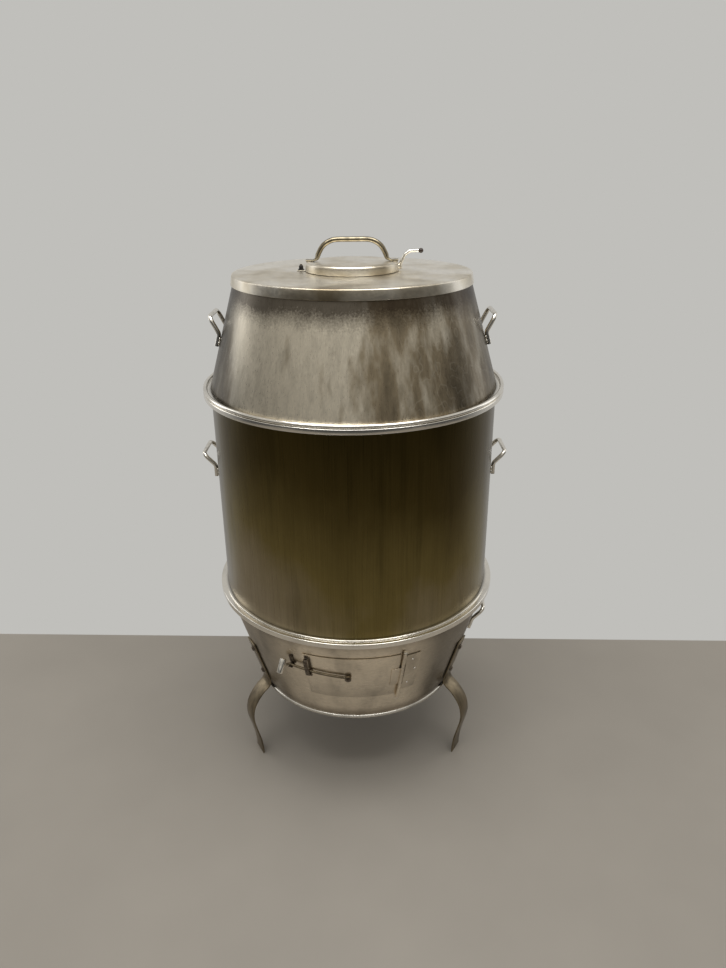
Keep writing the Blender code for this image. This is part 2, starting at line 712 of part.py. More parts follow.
# --------------------------------------------------------------------------- hood
def make_hood():
    """Double-walled cone on a flange with a rolled bead, closed by a collar at the top."""
    low = BARREL_FLANGE_TOP + GAP
    plate_top = low + FLANGE_PLATE
    bead_r = (HOOD_FLANGE_TOP - low) / 2
    bead_at = FLANGE_R - bead_r
    bead = [(bead_at + bead_r * math.sin(a), low + bead_r - bead_r * math.cos(a))
            for a in (math.radians(180.0 * i / 4) for i in range(5))]
    flange = turned("hood_bottom_flange", [(UPPER_FLANGE_INNER, low)] + bead
                    + [(bead_at - bead_r, plate_top), (UPPER_FLANGE_INNER, plate_top)])
    finish(flange, BRIGHT_STEEL, 0.22)

    shell_low = plate_top + GAP
    shell = turned("hood_outer_shell", [
        (hood_radius(shell_low), shell_low), (HOOD_TOP_R, HOOD_TOP),
        (HOOD_TOP_R - SHEET, HOOD_TOP), (hood_radius(shell_low) - SHEET, shell_low)])
    finish(shell, STEEL, 0.32)
    liner = turned("hood_inner_liner", [
        (hood_radius(shell_low) - WALL_DEPTH, shell_low), (HOOD_TOP_R - WALL_DEPTH, HOOD_TOP),
        (HOOD_TOP_R - WALL_DEPTH - SHEET, HOOD_TOP),
        (hood_radius(shell_low) - WALL_DEPTH - SHEET, shell_low)])
    finish(liner, DARK_STEEL, 0.5)
    collar_inner, collar_outer = 0.2690, 0.2995
    collar = turned("hood_top_collar", [
        (collar_inner, HOOD_TOP + GAP), (collar_outer, HOOD_TOP + GAP),
        (collar_outer, LID_UNDER - GAP), (collar_inner, LID_UNDER - GAP)])
    finish(collar, STEEL, 0.35)


# --------------------------------------------------------------------------- lid and vent cap
def make_lid():
    """Flat lid with a folded skirt and the vent hole, and the bolt that the vent cap turns on."""
    corner = 0.004
    lid = turned("lid", [
        (VENT_HOLE_R, LID_UNDER), (LID_R - 0.0035, LID_UNDER), (LID_R - SHEET, LID_UNDER - 0.002),
        (LID_SKIRT_R - SHEET, LID_SKIRT_LOW), (LID_SKIRT_R, LID_SKIRT_LOW),
        (LID_R, LID_TOP - corner), (LID_R - corner, LID_TOP), (VENT_HOLE_R, LID_TOP)])
    hole = rod_between("lid_bolt_cutter", (PIVOT_X, 0, LID_UNDER - 0.01),
                       (PIVOT_X, 0, LID_TOP + 0.01), BOLT_HOLE_R)
    combine(lid, hole, "DIFFERENCE")
    finish(lid, STEEL, 0.33)

    head_top = LID_UNDER - GAP
    bolt = rod_between("cap_pivot_bolt", (PIVOT_X, 0, head_top - 0.001), (PIVOT_X, 0, 1.4300), BOLT_R)
    head = rod_between("pivot_bolt_head_guide", (PIVOT_X, 0, head_top - 0.0042),
                       (PIVOT_X, 0, head_top), 2 * BOLT_R, 6)
    combine(bolt, head, "UNION")
    finish(bolt, DARK_STEEL, 0.45, smooth=False)

    seat = CAP_LOW + SHEET + GAP
    bore_r, nut_r, washer_r = 0.0034, 0.0056, 0.0080
    nut = turned("cap_pivot_nut", [
        (bore_r, seat), (washer_r, seat), (washer_r, seat + 0.0016), (nut_r, seat + 0.0018),
        (nut_r, seat + 0.0080), (bore_r, seat + 0.0110)], steps=12)
    nut.data.transform(Matrix.Translation((PIVOT_X, 0, 0)))
    finish(nut, BLACK, 0.5, smooth=False)


def make_vent_cap():
    """Shallow inverted pan with a tab that turns on the pivot bolt, its handle and its lever."""
    wall = 0.0018
    cap = turned("vent_cap", [
        (CAP_R - wall, CAP_LOW), (CAP_R, CAP_LOW), (CAP_R - 0.001, CAP_TOP - 0.005),
        (CAP_R - 0.006, CAP_TOP), (0.0, CAP_TOP), (0.0, CAP_TOP - wall),
        (CAP_R - 0.0066, CAP_TOP - wall), (CAP_R - 0.001 - wall, CAP_TOP - 0.0055)], steps=40)
    tab_end = PIVOT_X - 0.011
    tab_start = 0.0012 - CAP_R
    tab_width = 0.020
    tab = bmesh.new()
    size = Matrix.Diagonal((tab_start - tab_end, tab_width, SHEET, 1.0))
    middle = Matrix.Translation(((tab_end + tab_start) / 2, 0, CAP_LOW + SHEET / 2))
    bmesh.ops.create_cube(tab, size=1.0, matrix=middle @ size)
    combine(cap, from_bmesh("cap_tab_guide", tab), "UNION")
    hole = rod_between("cap_tab_cutter", (PIVOT_X, 0, CAP_LOW - 0.01),
                       (PIVOT_X, 0, CAP_LOW + 0.012), BOLT_HOLE_R - 0.0001)
    combine(cap, hole, "DIFFERENCE")
    finish(cap, STEEL, 0.3)

    handle = make_cap_handle()
    lever, knob = make_cap_lever()
    hang_on([cap, handle, lever, knob], "vent_cap_axis", (PIVOT_X, 0, CAP_LOW))


def make_cap_handle():
    """Bow handle of round bar with flattened feet on the cap."""
    rod = 0.0064
    foot_half = 0.0026
    foot_half_width = 0.0095
    foot_z = CAP_TOP + GAP + foot_half
    grip_z = 1.4900
    rise = [(-0.1170, foot_z), (-0.0985, foot_z), (-0.0900, foot_z + 0.0055),
            (-0.0815, 1.4620), (-0.0735, 1.4740), (-0.0620, 1.4830), (-0.0480, 1.4885),
            (-0.0320, grip_z)]
    path = rise + [(-x, z) for x, z in reversed(rise)]
    flat = (foot_half, foot_half_width)
    half_flat = (0.0050, 0.0080)
    sections = {0: flat, 1: flat, 2: half_flat}
    sides = 10
    bm = bmesh.new()
    rings = []
    for i, (x, z) in enumerate(path):
        before = path[max(i - 1, 0)]
        after = path[min(i + 1, len(path) - 1)]
        along = Vector((after[0] - before[0], 0, after[1] - before[1])).normalized()
        normal = Vector((-along.z, 0, along.x))
        high, wide = sections.get(min(i, len(path) - 1 - i), (rod, rod))
        rings.append([bm.verts.new(Vector((x, 0, z))
                                   + normal * (high * math.sin(2 * math.pi * j / sides))
                                   + Vector((0, wide * math.cos(2 * math.pi * j / sides), 0)))
                      for j in range(sides)])
    for a, b in zip(rings, rings[1:]):
        for j in range(sides):
            k = (j + 1) % sides
            bm.faces.new((a[j], a[k], b[k], b[j]))
    bm.faces.new(rings[0])
    bm.faces.new(list(reversed(rings[-1])))
    return finish(from_bmesh("cap_handle", bm), WARM_STEEL, 0.25)


def make_cap_lever():
    """Bent bar that stands up from the cap's right edge and turns outward, with a ball tip."""
    rod = 0.0042
    ball_r = 0.0062
    start_x = CAP_R + rod + 0.0006
    route = [(start_x, 0, CAP_LOW + 0.0016), (start_x, 0, CAP_LOW + 0.016),
             (start_x + 0.009, 0, CAP_LOW + 0.036), (start_x + 0.022, 0, CAP_LOW + 0.046),
             (start_x + 0.044, 0, CAP_LOW + 0.0465)]
    lever = bar("cap_lever", rounded_path(route, 0.010, steps=3), rod)
    finish(lever, STEEL, 0.35)
    tip = Vector(route[-1]) + Vector((GAP + ball_r, 0, 0))
    bm = bmesh.new()
    bmesh.ops.create_uvsphere(bm, u_segments=12, v_segments=8, radius=ball_r)
    bmesh.ops.transform(bm, matrix=Matrix.Translation(tip), verts=bm.verts)
    knob = finish(from_bmesh("lever_knob", bm), BLACK, 0.4, metallic=0.0)
    return lever, knob


# --------------------------------------------------------------------------- whole oven
def main():
    for obj in list(bpy.data.objects):
        bpy.data.objects.remove(obj, do_unlink=True)
    make_base()
    make_door_jamb()
    make_grate()
    make_ash_pan()
    make_legs()
    make_hinge()
    make_fire_door()
    make_latch_catch()
    make_latch()
    make_side_handles()
    make_barrel()
    make_hood()
    make_lid()
    make_vent_cap()


main()
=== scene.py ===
"""Charcoal barrel roasting oven in heat-tinted stainless steel: the visible pieces, their finishes
and the studio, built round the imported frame.  Metres, +Z up, fire door facing -Y."""
import json
import math

import bpy
from mathutils import Matrix, Vector


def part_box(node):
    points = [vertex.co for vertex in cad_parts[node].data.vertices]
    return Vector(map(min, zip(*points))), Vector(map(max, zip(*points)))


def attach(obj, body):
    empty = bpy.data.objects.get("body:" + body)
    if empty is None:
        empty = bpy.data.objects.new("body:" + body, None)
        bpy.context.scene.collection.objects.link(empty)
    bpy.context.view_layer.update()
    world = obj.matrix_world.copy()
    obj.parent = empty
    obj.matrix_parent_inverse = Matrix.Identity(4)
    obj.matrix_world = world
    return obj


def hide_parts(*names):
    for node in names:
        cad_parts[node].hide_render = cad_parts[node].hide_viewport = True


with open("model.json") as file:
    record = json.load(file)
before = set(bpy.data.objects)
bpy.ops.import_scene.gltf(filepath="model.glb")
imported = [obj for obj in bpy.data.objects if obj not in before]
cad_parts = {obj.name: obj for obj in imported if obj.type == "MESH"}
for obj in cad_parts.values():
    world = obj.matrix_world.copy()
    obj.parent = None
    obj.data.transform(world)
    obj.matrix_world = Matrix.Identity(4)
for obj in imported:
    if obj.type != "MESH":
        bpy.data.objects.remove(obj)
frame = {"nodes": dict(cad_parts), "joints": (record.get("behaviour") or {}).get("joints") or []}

bl_info = {
    "name": "Charcoal Roasting Oven",
    "version": (1, 0, 0),
    "blender": (4, 5, 0),
    "location": "View3D > Sidebar > Roaster",
    "description": "Builds a stainless charcoal barrel roasting oven round its frame",
    "category": "Add Mesh",
}

MM = 0.001
SMOOTH_ANGLE = 32.0      # faces that meet at less than this many degrees are shaded as one
SEAM_AT = -5.0           # azimuth of the fire base's weld seam, in degrees
DRILL_HALF = 10 * MM     # half the length of the shapes that cut the bolt holes
LEG_FLAT = (0.400, 0.350, 0.300, 0.262)             # heights where a leg lies on the wall
# a leg's centre line below that, as (radius, height)
LEG_BOW = ((0.3105, 0.2430), (0.3300, 0.2260), (0.3480, 0.2050), (0.3610, 0.1810),
           (0.3665, 0.1570), (0.3665, 0.1330), (0.3615, 0.1080), (0.3550, 0.0820),
           (0.3490, 0.0560), (0.3455, 0.0300), (0.3440, 0.0120), (0.3440, 0.05 * MM))
CAMERA_PLACE = (0.0281, -1.9444, 1.664)
CAMERA_PITCH = math.radians(66.51)
CAMERA_ROLL, CAMERA_YAW = -0.0091, 0.0028            # radians


def linear(code):
    """sRGB hex colour to linear red, green and blue."""
    channels = [int(code[i:i + 2], 16) / 255 for i in (0, 2, 4)]
    return tuple(c / 12.92 if c <= 0.04045 else ((c + 0.055) / 1.055) ** 2.4 for c in channels)


# ------------------------------------------------------------------ places read from the frame
def low(node):
    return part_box(node)[0].z


def top(node):
    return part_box(node)[1].z


def reach(node):
    """Outer radius of a piece turned on the oven's axis."""
    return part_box(node)[1].x


def middle(node):
    lowest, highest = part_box(node)
    return (lowest + highest) / 2


def ring_points(node, height):
    """Distances from the axis of a turned piece's points at one of its own ring heights."""
    ring = [v.co for v in frame["nodes"][node].data.vertices if abs(v.co.z - height) < 0.5 * MM]
    return [math.hypot(co.x, co.y) for co in ring]


def ring_radius(node, height):
    return max(ring_points(node, height))


def bore_radius(node, height):
    return min(ring_points(node, height))


def azimuth_of(point):
    """Degrees round the oven from its front, positive to the right."""
    return math.degrees(math.atan2(point.x, -point.y))


def azimuth_span(node):
    turns = [azimuth_of(v.co) for v in frame["nodes"][node].data.vertices]
    return min(turns), max(turns)


def direction(azimuth):
    """Unit vector straight out from the axis at an azimuth in degrees."""
    angle = math.radians(azimuth)
    return Vector((math.sin(angle), -math.cos(angle), 0.0))


BASE_LOW, BASE_TOP = low("base_outer_shell"), top("base_outer_shell")
BASE_LOW_R = ring_radius("base_outer_shell", BASE_LOW)
BASE_TOP_R = ring_radius("base_outer_shell", BASE_TOP)
HOOD_LOW, HOOD_TOP = low("hood_outer_shell"), top("hood_outer_shell")
HOOD_LOW_R = ring_radius("hood_outer_shell", HOOD_LOW)
HOOD_TOP_R = ring_radius("hood_outer_shell", HOOD_TOP)
BARREL_LOW, BARREL_TOP = low("barrel_outer_shell"), top("barrel_outer_shell")
BARREL_R = reach("barrel_outer_shell")
DOOR_WEST, DOOR_EAST = azimuth_span("fire_door")
DOOR_LOW, DOOR_TOP = low("fire_door"), top("fire_door")
JOINTS = {joint["name"]: joint for joint in frame["joints"]}
HINGE_POINT = Vector(JOINTS["fire_door_swing"]["pos_m"])
HINGE_AXIS = Vector(JOINTS["fire_door_swing"]["axis"]).normalized()
LATCH_POINT = Vector(JOINTS["latch_lift"]["pos_m"])
PIVOT = Vector(JOINTS["vent_cap_swivel"]["pos_m"])


def cone_radius(height, low_r, top_r, low_z, top_z):
    return low_r + (top_r - low_r) * (height - low_z) / (top_z - low_z)


def base_radius(height):
    return cone_radius(height, BASE_LOW_R, BASE_TOP_R, BASE_LOW, BASE_TOP)


def hood_radius(height):
    return cone_radius(height, HOOD_LOW_R, HOOD_TOP_R, HOOD_LOW, HOOD_TOP)


def barrel_radius(height):
    return BARREL_R


def on_base(azimuth, height, off):
    """Point that stands off the fire base's cone."""
    return direction(azimuth) * (base_radius(height) + off) + Vector((0, 0, height))


def base_normal(azimuth):
    """Outward normal of the fire base, which faces a little downward."""
    slope = (BASE_TOP_R - BASE_LOW_R) / (BASE_TOP - BASE_LOW)
    return (direction(azimuth) - Vector((0, 0, slope))).normalized()


def on_hinge(height):
    """Point on the fire door's hinge axis at a height."""
    return HINGE_POINT + HINGE_AXIS * ((height - HINGE_POINT.z) / HINGE_AXIS.z)


# ------------------------------------------------------------------ sizes and colours to change
def length_setting(name, description, size):
    return bpy.props.FloatProperty(
        name=name, description=description, default=size, unit="LENGTH")


def tint_setting(name, description, code):
    return bpy.props.FloatVectorProperty(
        name=name, description=description, subtype="COLOR", default=linear(code))


class RoasterSizes(bpy.types.PropertyGroup):
    round_steps: bpy.props.IntProperty(
        name="Round steps", description="Faces round each large turned piece", default=160, min=48)
    sheet: length_setting("Sheet", "Thickness of the outer shells", 2 * MM)
    hem: length_setting("Hem radius", "Radius of folded sheet edges", 1 * MM)
    plate_edge: length_setting("Plate edge", "Width of the broken edge on small plates", 0.35 * MM)
    grip_bar: length_setting("Grip bar radius", "Round bar of the six side handles", 5.6 * MM)
    bow_bar: length_setting("Bow bar radius", "Round bar of the vent cap's handle", 6.4 * MM)
    lever_bar: length_setting("Lever bar radius", "Round bar of the vent cap's lever", 4.2 * MM)
    latch_bar: length_setting("Latch bar radius", "Round bar of the fire door's latch", 3.5 * MM)
    leg_width: length_setting("Leg width", "Width of the strap legs", 52 * MM)
    leg_thick: length_setting("Leg thickness", "Thickness of the strap legs", 4 * MM)
    door_lap: bpy.props.FloatProperty(
        name="Door lap", description="How far the fire door laps over its opening at each side",
        default=math.radians(2.2), unit="ROTATION")


class RoasterColours(bpy.types.PropertyGroup):
    barrel_deep: tint_setting("Barrel, deep tint", "Darkest olive-brown heat tint", "544827")
    barrel_gold: tint_setting("Barrel, gold tint", "Straw and gold heat tint", "86784A")
    barrel_pale: tint_setting("Barrel, pale tint", "Least tinted steel, by the base", "A69A82")
    hood_pale: tint_setting("Hood, pale", "Scoured steel of the hood", "E2D9C6")
    hood_tan: tint_setting("Hood, tan", "Warm stained steel of the hood", "9A8D76")
    soot: tint_setting("Soot", "Baked smoke under the lid and inside", "2A2119")
    base_warm: tint_setting("Fire base", "Beige heat tint of the fire base", "F2E6D2")
    bright: tint_setting("Polished steel", "Flanges, rims and handles", "F3EFE6")
    straw: tint_setting("Straw tint", "Heat tint of the bow handle", "A2977F")
    floor: tint_setting("Floor", "Studio floor", "969087")
    backdrop: tint_setting("Backdrop", "Plain pale background", "C0BFBB")


def sizes():
    return bpy.context.scene.roaster_sizes


def colours():
    return bpy.context.scene.roaster_colours


# ------------------------------------------------------------------ material making
MIX_FACTOR, MIX_A, MIX_B, MIX_RESULT = 0, 6, 7, 2


def add_node(mat, kind, inputs=None, give=None, stops=None, **settings):
    """Add one node with its settings, its inputs, each a value or another node's output, and its
    ramp's stops.  Answers with the output asked for, or with the node itself."""
    node = mat.node_tree.nodes.new(kind)
    for name, value in settings.items():
        setattr(node, name, value)
    for socket, source in (inputs or {}).items():
        if isinstance(source, bpy.types.NodeSocket):
            mat.node_tree.links.new(source, node.inputs[socket])
        else:
            node.inputs[socket].default_value = source
    if stops:
        points = node.color_ramp.elements
        while len(points) < len(stops):
            points.new(1.0)
        for point, (place, shade) in zip(points, stops):
            point.position = place
            point.color = shade
    return node if give is None else node.outputs[give]


def new_material(name):
    """Empty material with its output and one Principled shader."""
    mat = bpy.data.materials.new(name)
    mat.use_nodes = True
    mat.node_tree.nodes.clear()
    shader = add_node(mat, "ShaderNodeBsdfPrincipled")
    add_node(mat, "ShaderNodeOutputMaterial", {"Surface": shader.outputs["BSDF"]})
    return mat, shader


def paint(colour, level=1.0):
    """A colour for a shader socket, darkened to a level."""
    return (*(level * channel for channel in colour), 1.0)


def speckle(mat, size_mm, detail=3.0, stretch=(1.0, 1.0, 1.0), rough=0.55, shift=(0.0, 0.0, 0.0)):
    """Noise whose features are about size_mm across; stretch draws them out along an axis."""
    frequency = 1000.0 / size_mm
    place = add_node(mat, "ShaderNodeTexCoord", give="Object")
    scale = tuple(frequency / s for s in stretch)
    spread = add_node(mat, "ShaderNodeMapping", {
        "Vector": place, "Scale": scale, "Location": shift}, "Vector")
    return add_node(mat, "ShaderNodeTexNoise", {
        "Vector": spread, "Scale": 1.0, "Detail": detail, "Roughness": rough}, "Fac")


def share_along(mat, axis, start, end):
    """0 at one place along an axis and 1 at another, in metres, eased between them."""
    place = add_node(mat, "ShaderNodeTexCoord", give="Object")
    along = add_node(mat, "ShaderNodeSeparateXYZ", {"Vector": place}, axis)
    return add_node(mat, "ShaderNodeMapRange", {
        "Value": along, "From Min": start, "From Max": end}, "Result",
        interpolation_type="SMOOTHSTEP")


def share_out(mat, start, end):
    """0 at one distance from the oven's axis and 1 at another, in metres."""
    place = add_node(mat, "ShaderNodeTexCoord", give="Object")
    flat = add_node(mat, "ShaderNodeVectorMath", {0: place, 1: (1.0, 1.0, 0.0)}, "Vector",
                    operation="MULTIPLY")
    out = add_node(mat, "ShaderNodeVectorMath", {0: flat}, "Value", operation="LENGTH")
    return add_node(mat, "ShaderNodeMapRange", {
        "Value": out, "From Min": start, "From Max": end}, "Result")


def shaded(mat, colour, pattern, stops, amount=1.0):
    """Darken a colour by levels laid over a pattern, given as (share, level) pairs."""
    levels = add_node(mat, "ShaderNodeValToRGB", {"Fac": pattern}, "Color",
                      [(place, paint((1, 1, 1), level)) for place, level in stops])
    return add_node(mat, "ShaderNodeMix", {MIX_FACTOR: amount, MIX_A: colour, MIX_B: levels},
                    MIX_RESULT, data_type="RGBA", blend_type="MULTIPLY")


def stained(mat, colour, where, amount, stain):
    """Lay a stain over a colour, as strong as the amount where the pattern is 1."""
    strength = add_node(mat, "ShaderNodeMath", {0: where, 1: amount}, 0, operation="MULTIPLY")
    return add_node(mat, "ShaderNodeMix", {MIX_FACTOR: strength, MIX_A: colour, MIX_B: stain},
                    MIX_RESULT, data_type="RGBA")


def weighed_sum(mat, *terms):
    """Sum of patterns, each multiplied by its weight."""
    total = 0.0
    for pattern, weight in terms:
        total = add_node(mat, "ShaderNodeMath", {0: pattern, 1: weight, 2: total}, 0,
                         operation="MULTIPLY_ADD")
    return total


def steel_surface(mat, shader, colour, grain, dents, rough_low, rough_high, grain_bump,
                  dent_bump, metallic=1.0):
    """Common end of every steel finish: colour, streaked roughness, grain and sheet waviness."""
    roughness = add_node(mat, "ShaderNodeMapRange", {
        "Value": grain, "From Min": 0.3, "From Max": 0.7, "To Min": rough_low,
        "To Max": rough_high}, "Result")
    waves = add_node(mat, "ShaderNodeBump", {
        "Height": dents, "Strength": dent_bump, "Distance": 4 * MM}, "Normal")
    lines = add_node(mat, "ShaderNodeBump", {
        "Height": grain, "Normal": waves, "Strength": grain_bump, "Distance": 0.2 * MM}, "Normal")
    shader.inputs["Metallic"].default_value = metallic
    mat.node_tree.links.new(colour, shader.inputs["Base Color"])
    mat.node_tree.links.new(roughness, shader.inputs["Roughness"])
    mat.node_tree.links.new(lines, shader.inputs["Normal"])


# ------------------------------------------------------------------ the oven's finishes
def lay_barrel_steel(mat, shader, tint):
    """304 stainless sheet, brushed up and down, browned by the fire: olive and gold oxide colours
    with darker drips, dull enough to blur what it mirrors; painted light pales its left side and
    a painted reflection turns its left and right flanks a pale neutral grey."""
    # the real brush lines are about 0.2 mm apart; they are drawn near 3 mm wide so that they show
    lines = speckle(mat, 3.0, 3.0, (1.0, 1.0, 60.0))
    # the share along X is painted light and shade: the left side paler as if lit from the left,
    # the middle and right darker
    level = weighed_sum(mat, (speckle(mat, 230, 4.0, (1.0, 1.0, 1.6)), 0.8),
                        (share_along(mat, "Z", BARREL_LOW, BARREL_TOP), 1.0),
                        (share_along(mat, "X", -0.30, 0.02), 0.30))
    level = add_node(mat, "ShaderNodeMapRange", {
        "Value": level, "From Min": 0.45, "From Max": 2.05}, "Result")
    colour = add_node(mat, "ShaderNodeValToRGB", {"Fac": level}, "Color", [
        (0.00, paint(tint.barrel_pale)), (0.24, paint(tint.barrel_gold)),
        (0.58, paint(tint.barrel_deep, 1.15)), (0.95, paint(tint.barrel_deep, 0.7))])
    # painted reflection: the left and right flanks turn a pale neutral grey, as if mirroring the
    # bright walls
    painted_flank_reflection = add_node(mat, "ShaderNodeMath", {
        0: share_along(mat, "X", -0.325, -0.368), 1: share_along(mat, "X", 0.335, 0.378)}, 0,
        operation="MAXIMUM")
    colour = stained(mat, colour, painted_flank_reflection, 1.0, paint(linear("918C81")))
    drips = speckle(mat, 42, 3.0, (1.0, 1.0, 9.0))
    colour = shaded(mat, colour, drips, [(0.28, 0.62), (0.46, 0.95), (0.60, 1.0)], 0.7)
    colour = shaded(mat, colour, lines, [(0.3, 0.76), (0.7, 1.0)], 0.8)
    steel_surface(mat, shader, colour, lines, speckle(mat, 160, 2.0), 0.26, 0.38, 0.10, 0.05)


def lay_hood_steel(mat, shader, tint):
    """The same sheet scrubbed bright by hand in pale vertical wipes and paler across the left of
    its front, with curved scuffs on the right, a crust of brown smoke specks under the lid and
    painted shade on its left and right flanks."""
    lines = speckle(mat, 2.6, 3.0, (1.0, 1.0, 50.0))
    # a paler band across the left of the hood's front
    left_front_band = add_node(mat, "ShaderNodeMath", {
        0: share_along(mat, "X", -0.33, -0.26), 1: share_along(mat, "X", 0.03, -0.05)}, 0,
        operation="MULTIPLY")
    wipes = speckle(mat, 48, 3.0, (1.0, 1.0, 8.0), shift=(3.1, 0.0, 0.0))
    level = weighed_sum(mat, (wipes, 1.0), (left_front_band, 0.30))
    colour = add_node(mat, "ShaderNodeValToRGB", {"Fac": level}, "Color", [
        (0.32, paint(tint.hood_tan, 0.66)), (0.48, paint(tint.hood_tan, 1.1)),
        (0.68, paint(tint.hood_pale)), (0.95, paint(tint.hood_pale))])
    narrow = speckle(mat, 14, 3.0, (1.0, 1.0, 14.0))
    colour = shaded(mat, colour, narrow, [(0.30, 0.66), (0.55, 1.0)], 0.5)
    # scuffs: curved scratches from folded noise, only on the right of the hood
    scuffs = weighed_sum(mat, (speckle(mat, 60, 2.0, (1.0, 1.0, 1.5)), 14.0))
    folded = add_node(mat, "ShaderNodeMath", {0: scuffs, 1: 1.0}, 0, operation="PINGPONG")
    arcs = add_node(mat, "ShaderNodeMapRange", {
        "Value": folded, "From Min": 0.80, "From Max": 1.0}, "Result")
    shown = add_node(mat, "ShaderNodeMath", {0: arcs, 1: share_along(mat, "X", 0.06, 0.16)}, 0,
                     operation="MULTIPLY")
    colour = stained(mat, colour, shown, 0.22, paint(tint.hood_pale))
    # painted shade: the hood darkens towards its right and left flanks
    colour = shaded(mat, colour, share_along(mat, "X", 0.20, 0.27), [(0.0, 1.0), (1.0, 0.48)])
    colour = shaded(mat, colour, share_along(mat, "X", -0.235, -0.31), [(0.0, 1.0), (1.0, 0.24)])
    # smoke crust: dense at the top edge, fading out as specks about a third of the way down
    crust = weighed_sum(mat, (speckle(mat, 4.5, 4.0, rough=0.7), 0.8),
                        (speckle(mat, 90, 2.0), 0.6),
                        (share_along(mat, "Z", HOOD_TOP - 0.135, HOOD_TOP + 0.010), 1.35))
    crust = add_node(mat, "ShaderNodeMapRange", {
        "Value": crust, "From Min": 1.05, "From Max": 1.65}, "Result")
    colour = stained(mat, colour, crust, 0.84, paint(tint.soot, 1.4))
    colour = shaded(mat, colour, lines, [(0.3, 0.80), (0.7, 1.0)], 0.8)
    steel_surface(mat, shader, colour, lines, speckle(mat, 130, 2.0), 0.26, 0.42, 0.12, 0.08)


def lay_fire_base_steel(mat, shader, tint):
    """Sheet round the fire, warmed to beige, with grain running round the cone, dull stains and
    painted shade at its left and right flanks.
    """
    lines = speckle(mat, 2.6, 3.0, (14.0, 14.0, 1.0))
    colour = add_node(mat, "ShaderNodeValToRGB", {
        "Fac": speckle(mat, 75, 3.0, (1.0, 1.0, 2.2))}, "Color", [
        (0.28, paint(tint.base_warm, 0.62)), (0.46, paint(tint.base_warm, 0.88)),
        (0.66, paint(tint.base_warm))])
    mottle = speckle(mat, 7, 3.0, (1.6, 1.6, 1.0))
    colour = shaded(mat, colour, mottle, [(0.30, 0.74), (0.55, 1.0)], 0.4)
    # painted shade: the fire base darkens towards its left and right flanks
    colour = shaded(mat, colour, share_along(mat, "X", -0.13, -0.25), [(0.0, 1.0), (1.0, 0.50)])
    colour = shaded(mat, colour, share_along(mat, "X", 0.13, 0.24), [(0.0, 1.0), (1.0, 0.34)])
    # burnt brown where the wall meets the flange and the rim
    edges = add_node(mat, "ShaderNodeMath", {
        0: share_along(mat, "Z", BASE_LOW + 0.035, BASE_LOW),
        1: share_along(mat, "Z", BASE_TOP - 0.055, BASE_TOP)}, 0, operation="MAXIMUM")
    colour = stained(mat, colour, edges, 0.6, paint(linear("54432F")))
    steel_surface(mat, shader, colour, lines, speckle(mat, 90, 2.0), 0.26, 0.38, 0.08, 0.06)


def lay_flange_steel(mat, shader, tint):
    """Rolled flanges of polished steel with specks of brown grime, darkened by painted shade
    towards the corner by the barrel wall.
    """
    lines = speckle(mat, 1.8, 2.0, (10.0, 10.0, 1.0))
    colour = add_node(mat, "ShaderNodeValToRGB", {"Fac": speckle(mat, 90, 2.0)}, "Color", [
        (0.30, paint(tint.bright, 0.82)), (0.55, paint(tint.bright))])
    # painted shade: darker towards the corner where the flange meets the barrel wall
    painted_wall_shade = share_out(mat, BARREL_R - 1 * MM, BARREL_R + 8 * MM)
    colour = shaded(mat, colour, painted_wall_shade, [(0.0, 0.22), (0.6, 0.8), (1.0, 1.0)])
    grime = speckle(mat, 10, 4.0, rough=0.7)
    colour = shaded(mat, colour, grime, [(0.28, 0.55), (0.40, 1.0)], 0.35)
    steel_surface(mat, shader, colour, lines, speckle(mat, 90, 1.0), 0.14, 0.22, 0.03, 0.03)


def lay_lid_steel(mat, shader, tint):
    """Satin sheet rubbed in all directions, darker and browner towards its front edge."""
    rub = speckle(mat, 6, 3.0, (1.0, 3.0, 1.0))
    # the share along Y makes the lid darker and browner towards its front edge
    level = weighed_sum(mat, (speckle(mat, 140, 3.0), 1.0),
                        (share_along(mat, "Y", 0.10, -0.33), -0.22))
    colour = add_node(mat, "ShaderNodeValToRGB", {"Fac": level}, "Color", [
        (0.15, paint(tint.hood_tan)), (0.34, paint(tint.hood_pale, 0.92)),
        (0.55, paint(tint.bright))])
    colour = shaded(mat, colour, rub, [(0.32, 0.82), (0.6, 1.0)], 0.3)
    steel_surface(mat, shader, colour, rub, speckle(mat, 160, 2.0), 0.30, 0.40, 0.05, 0.06)


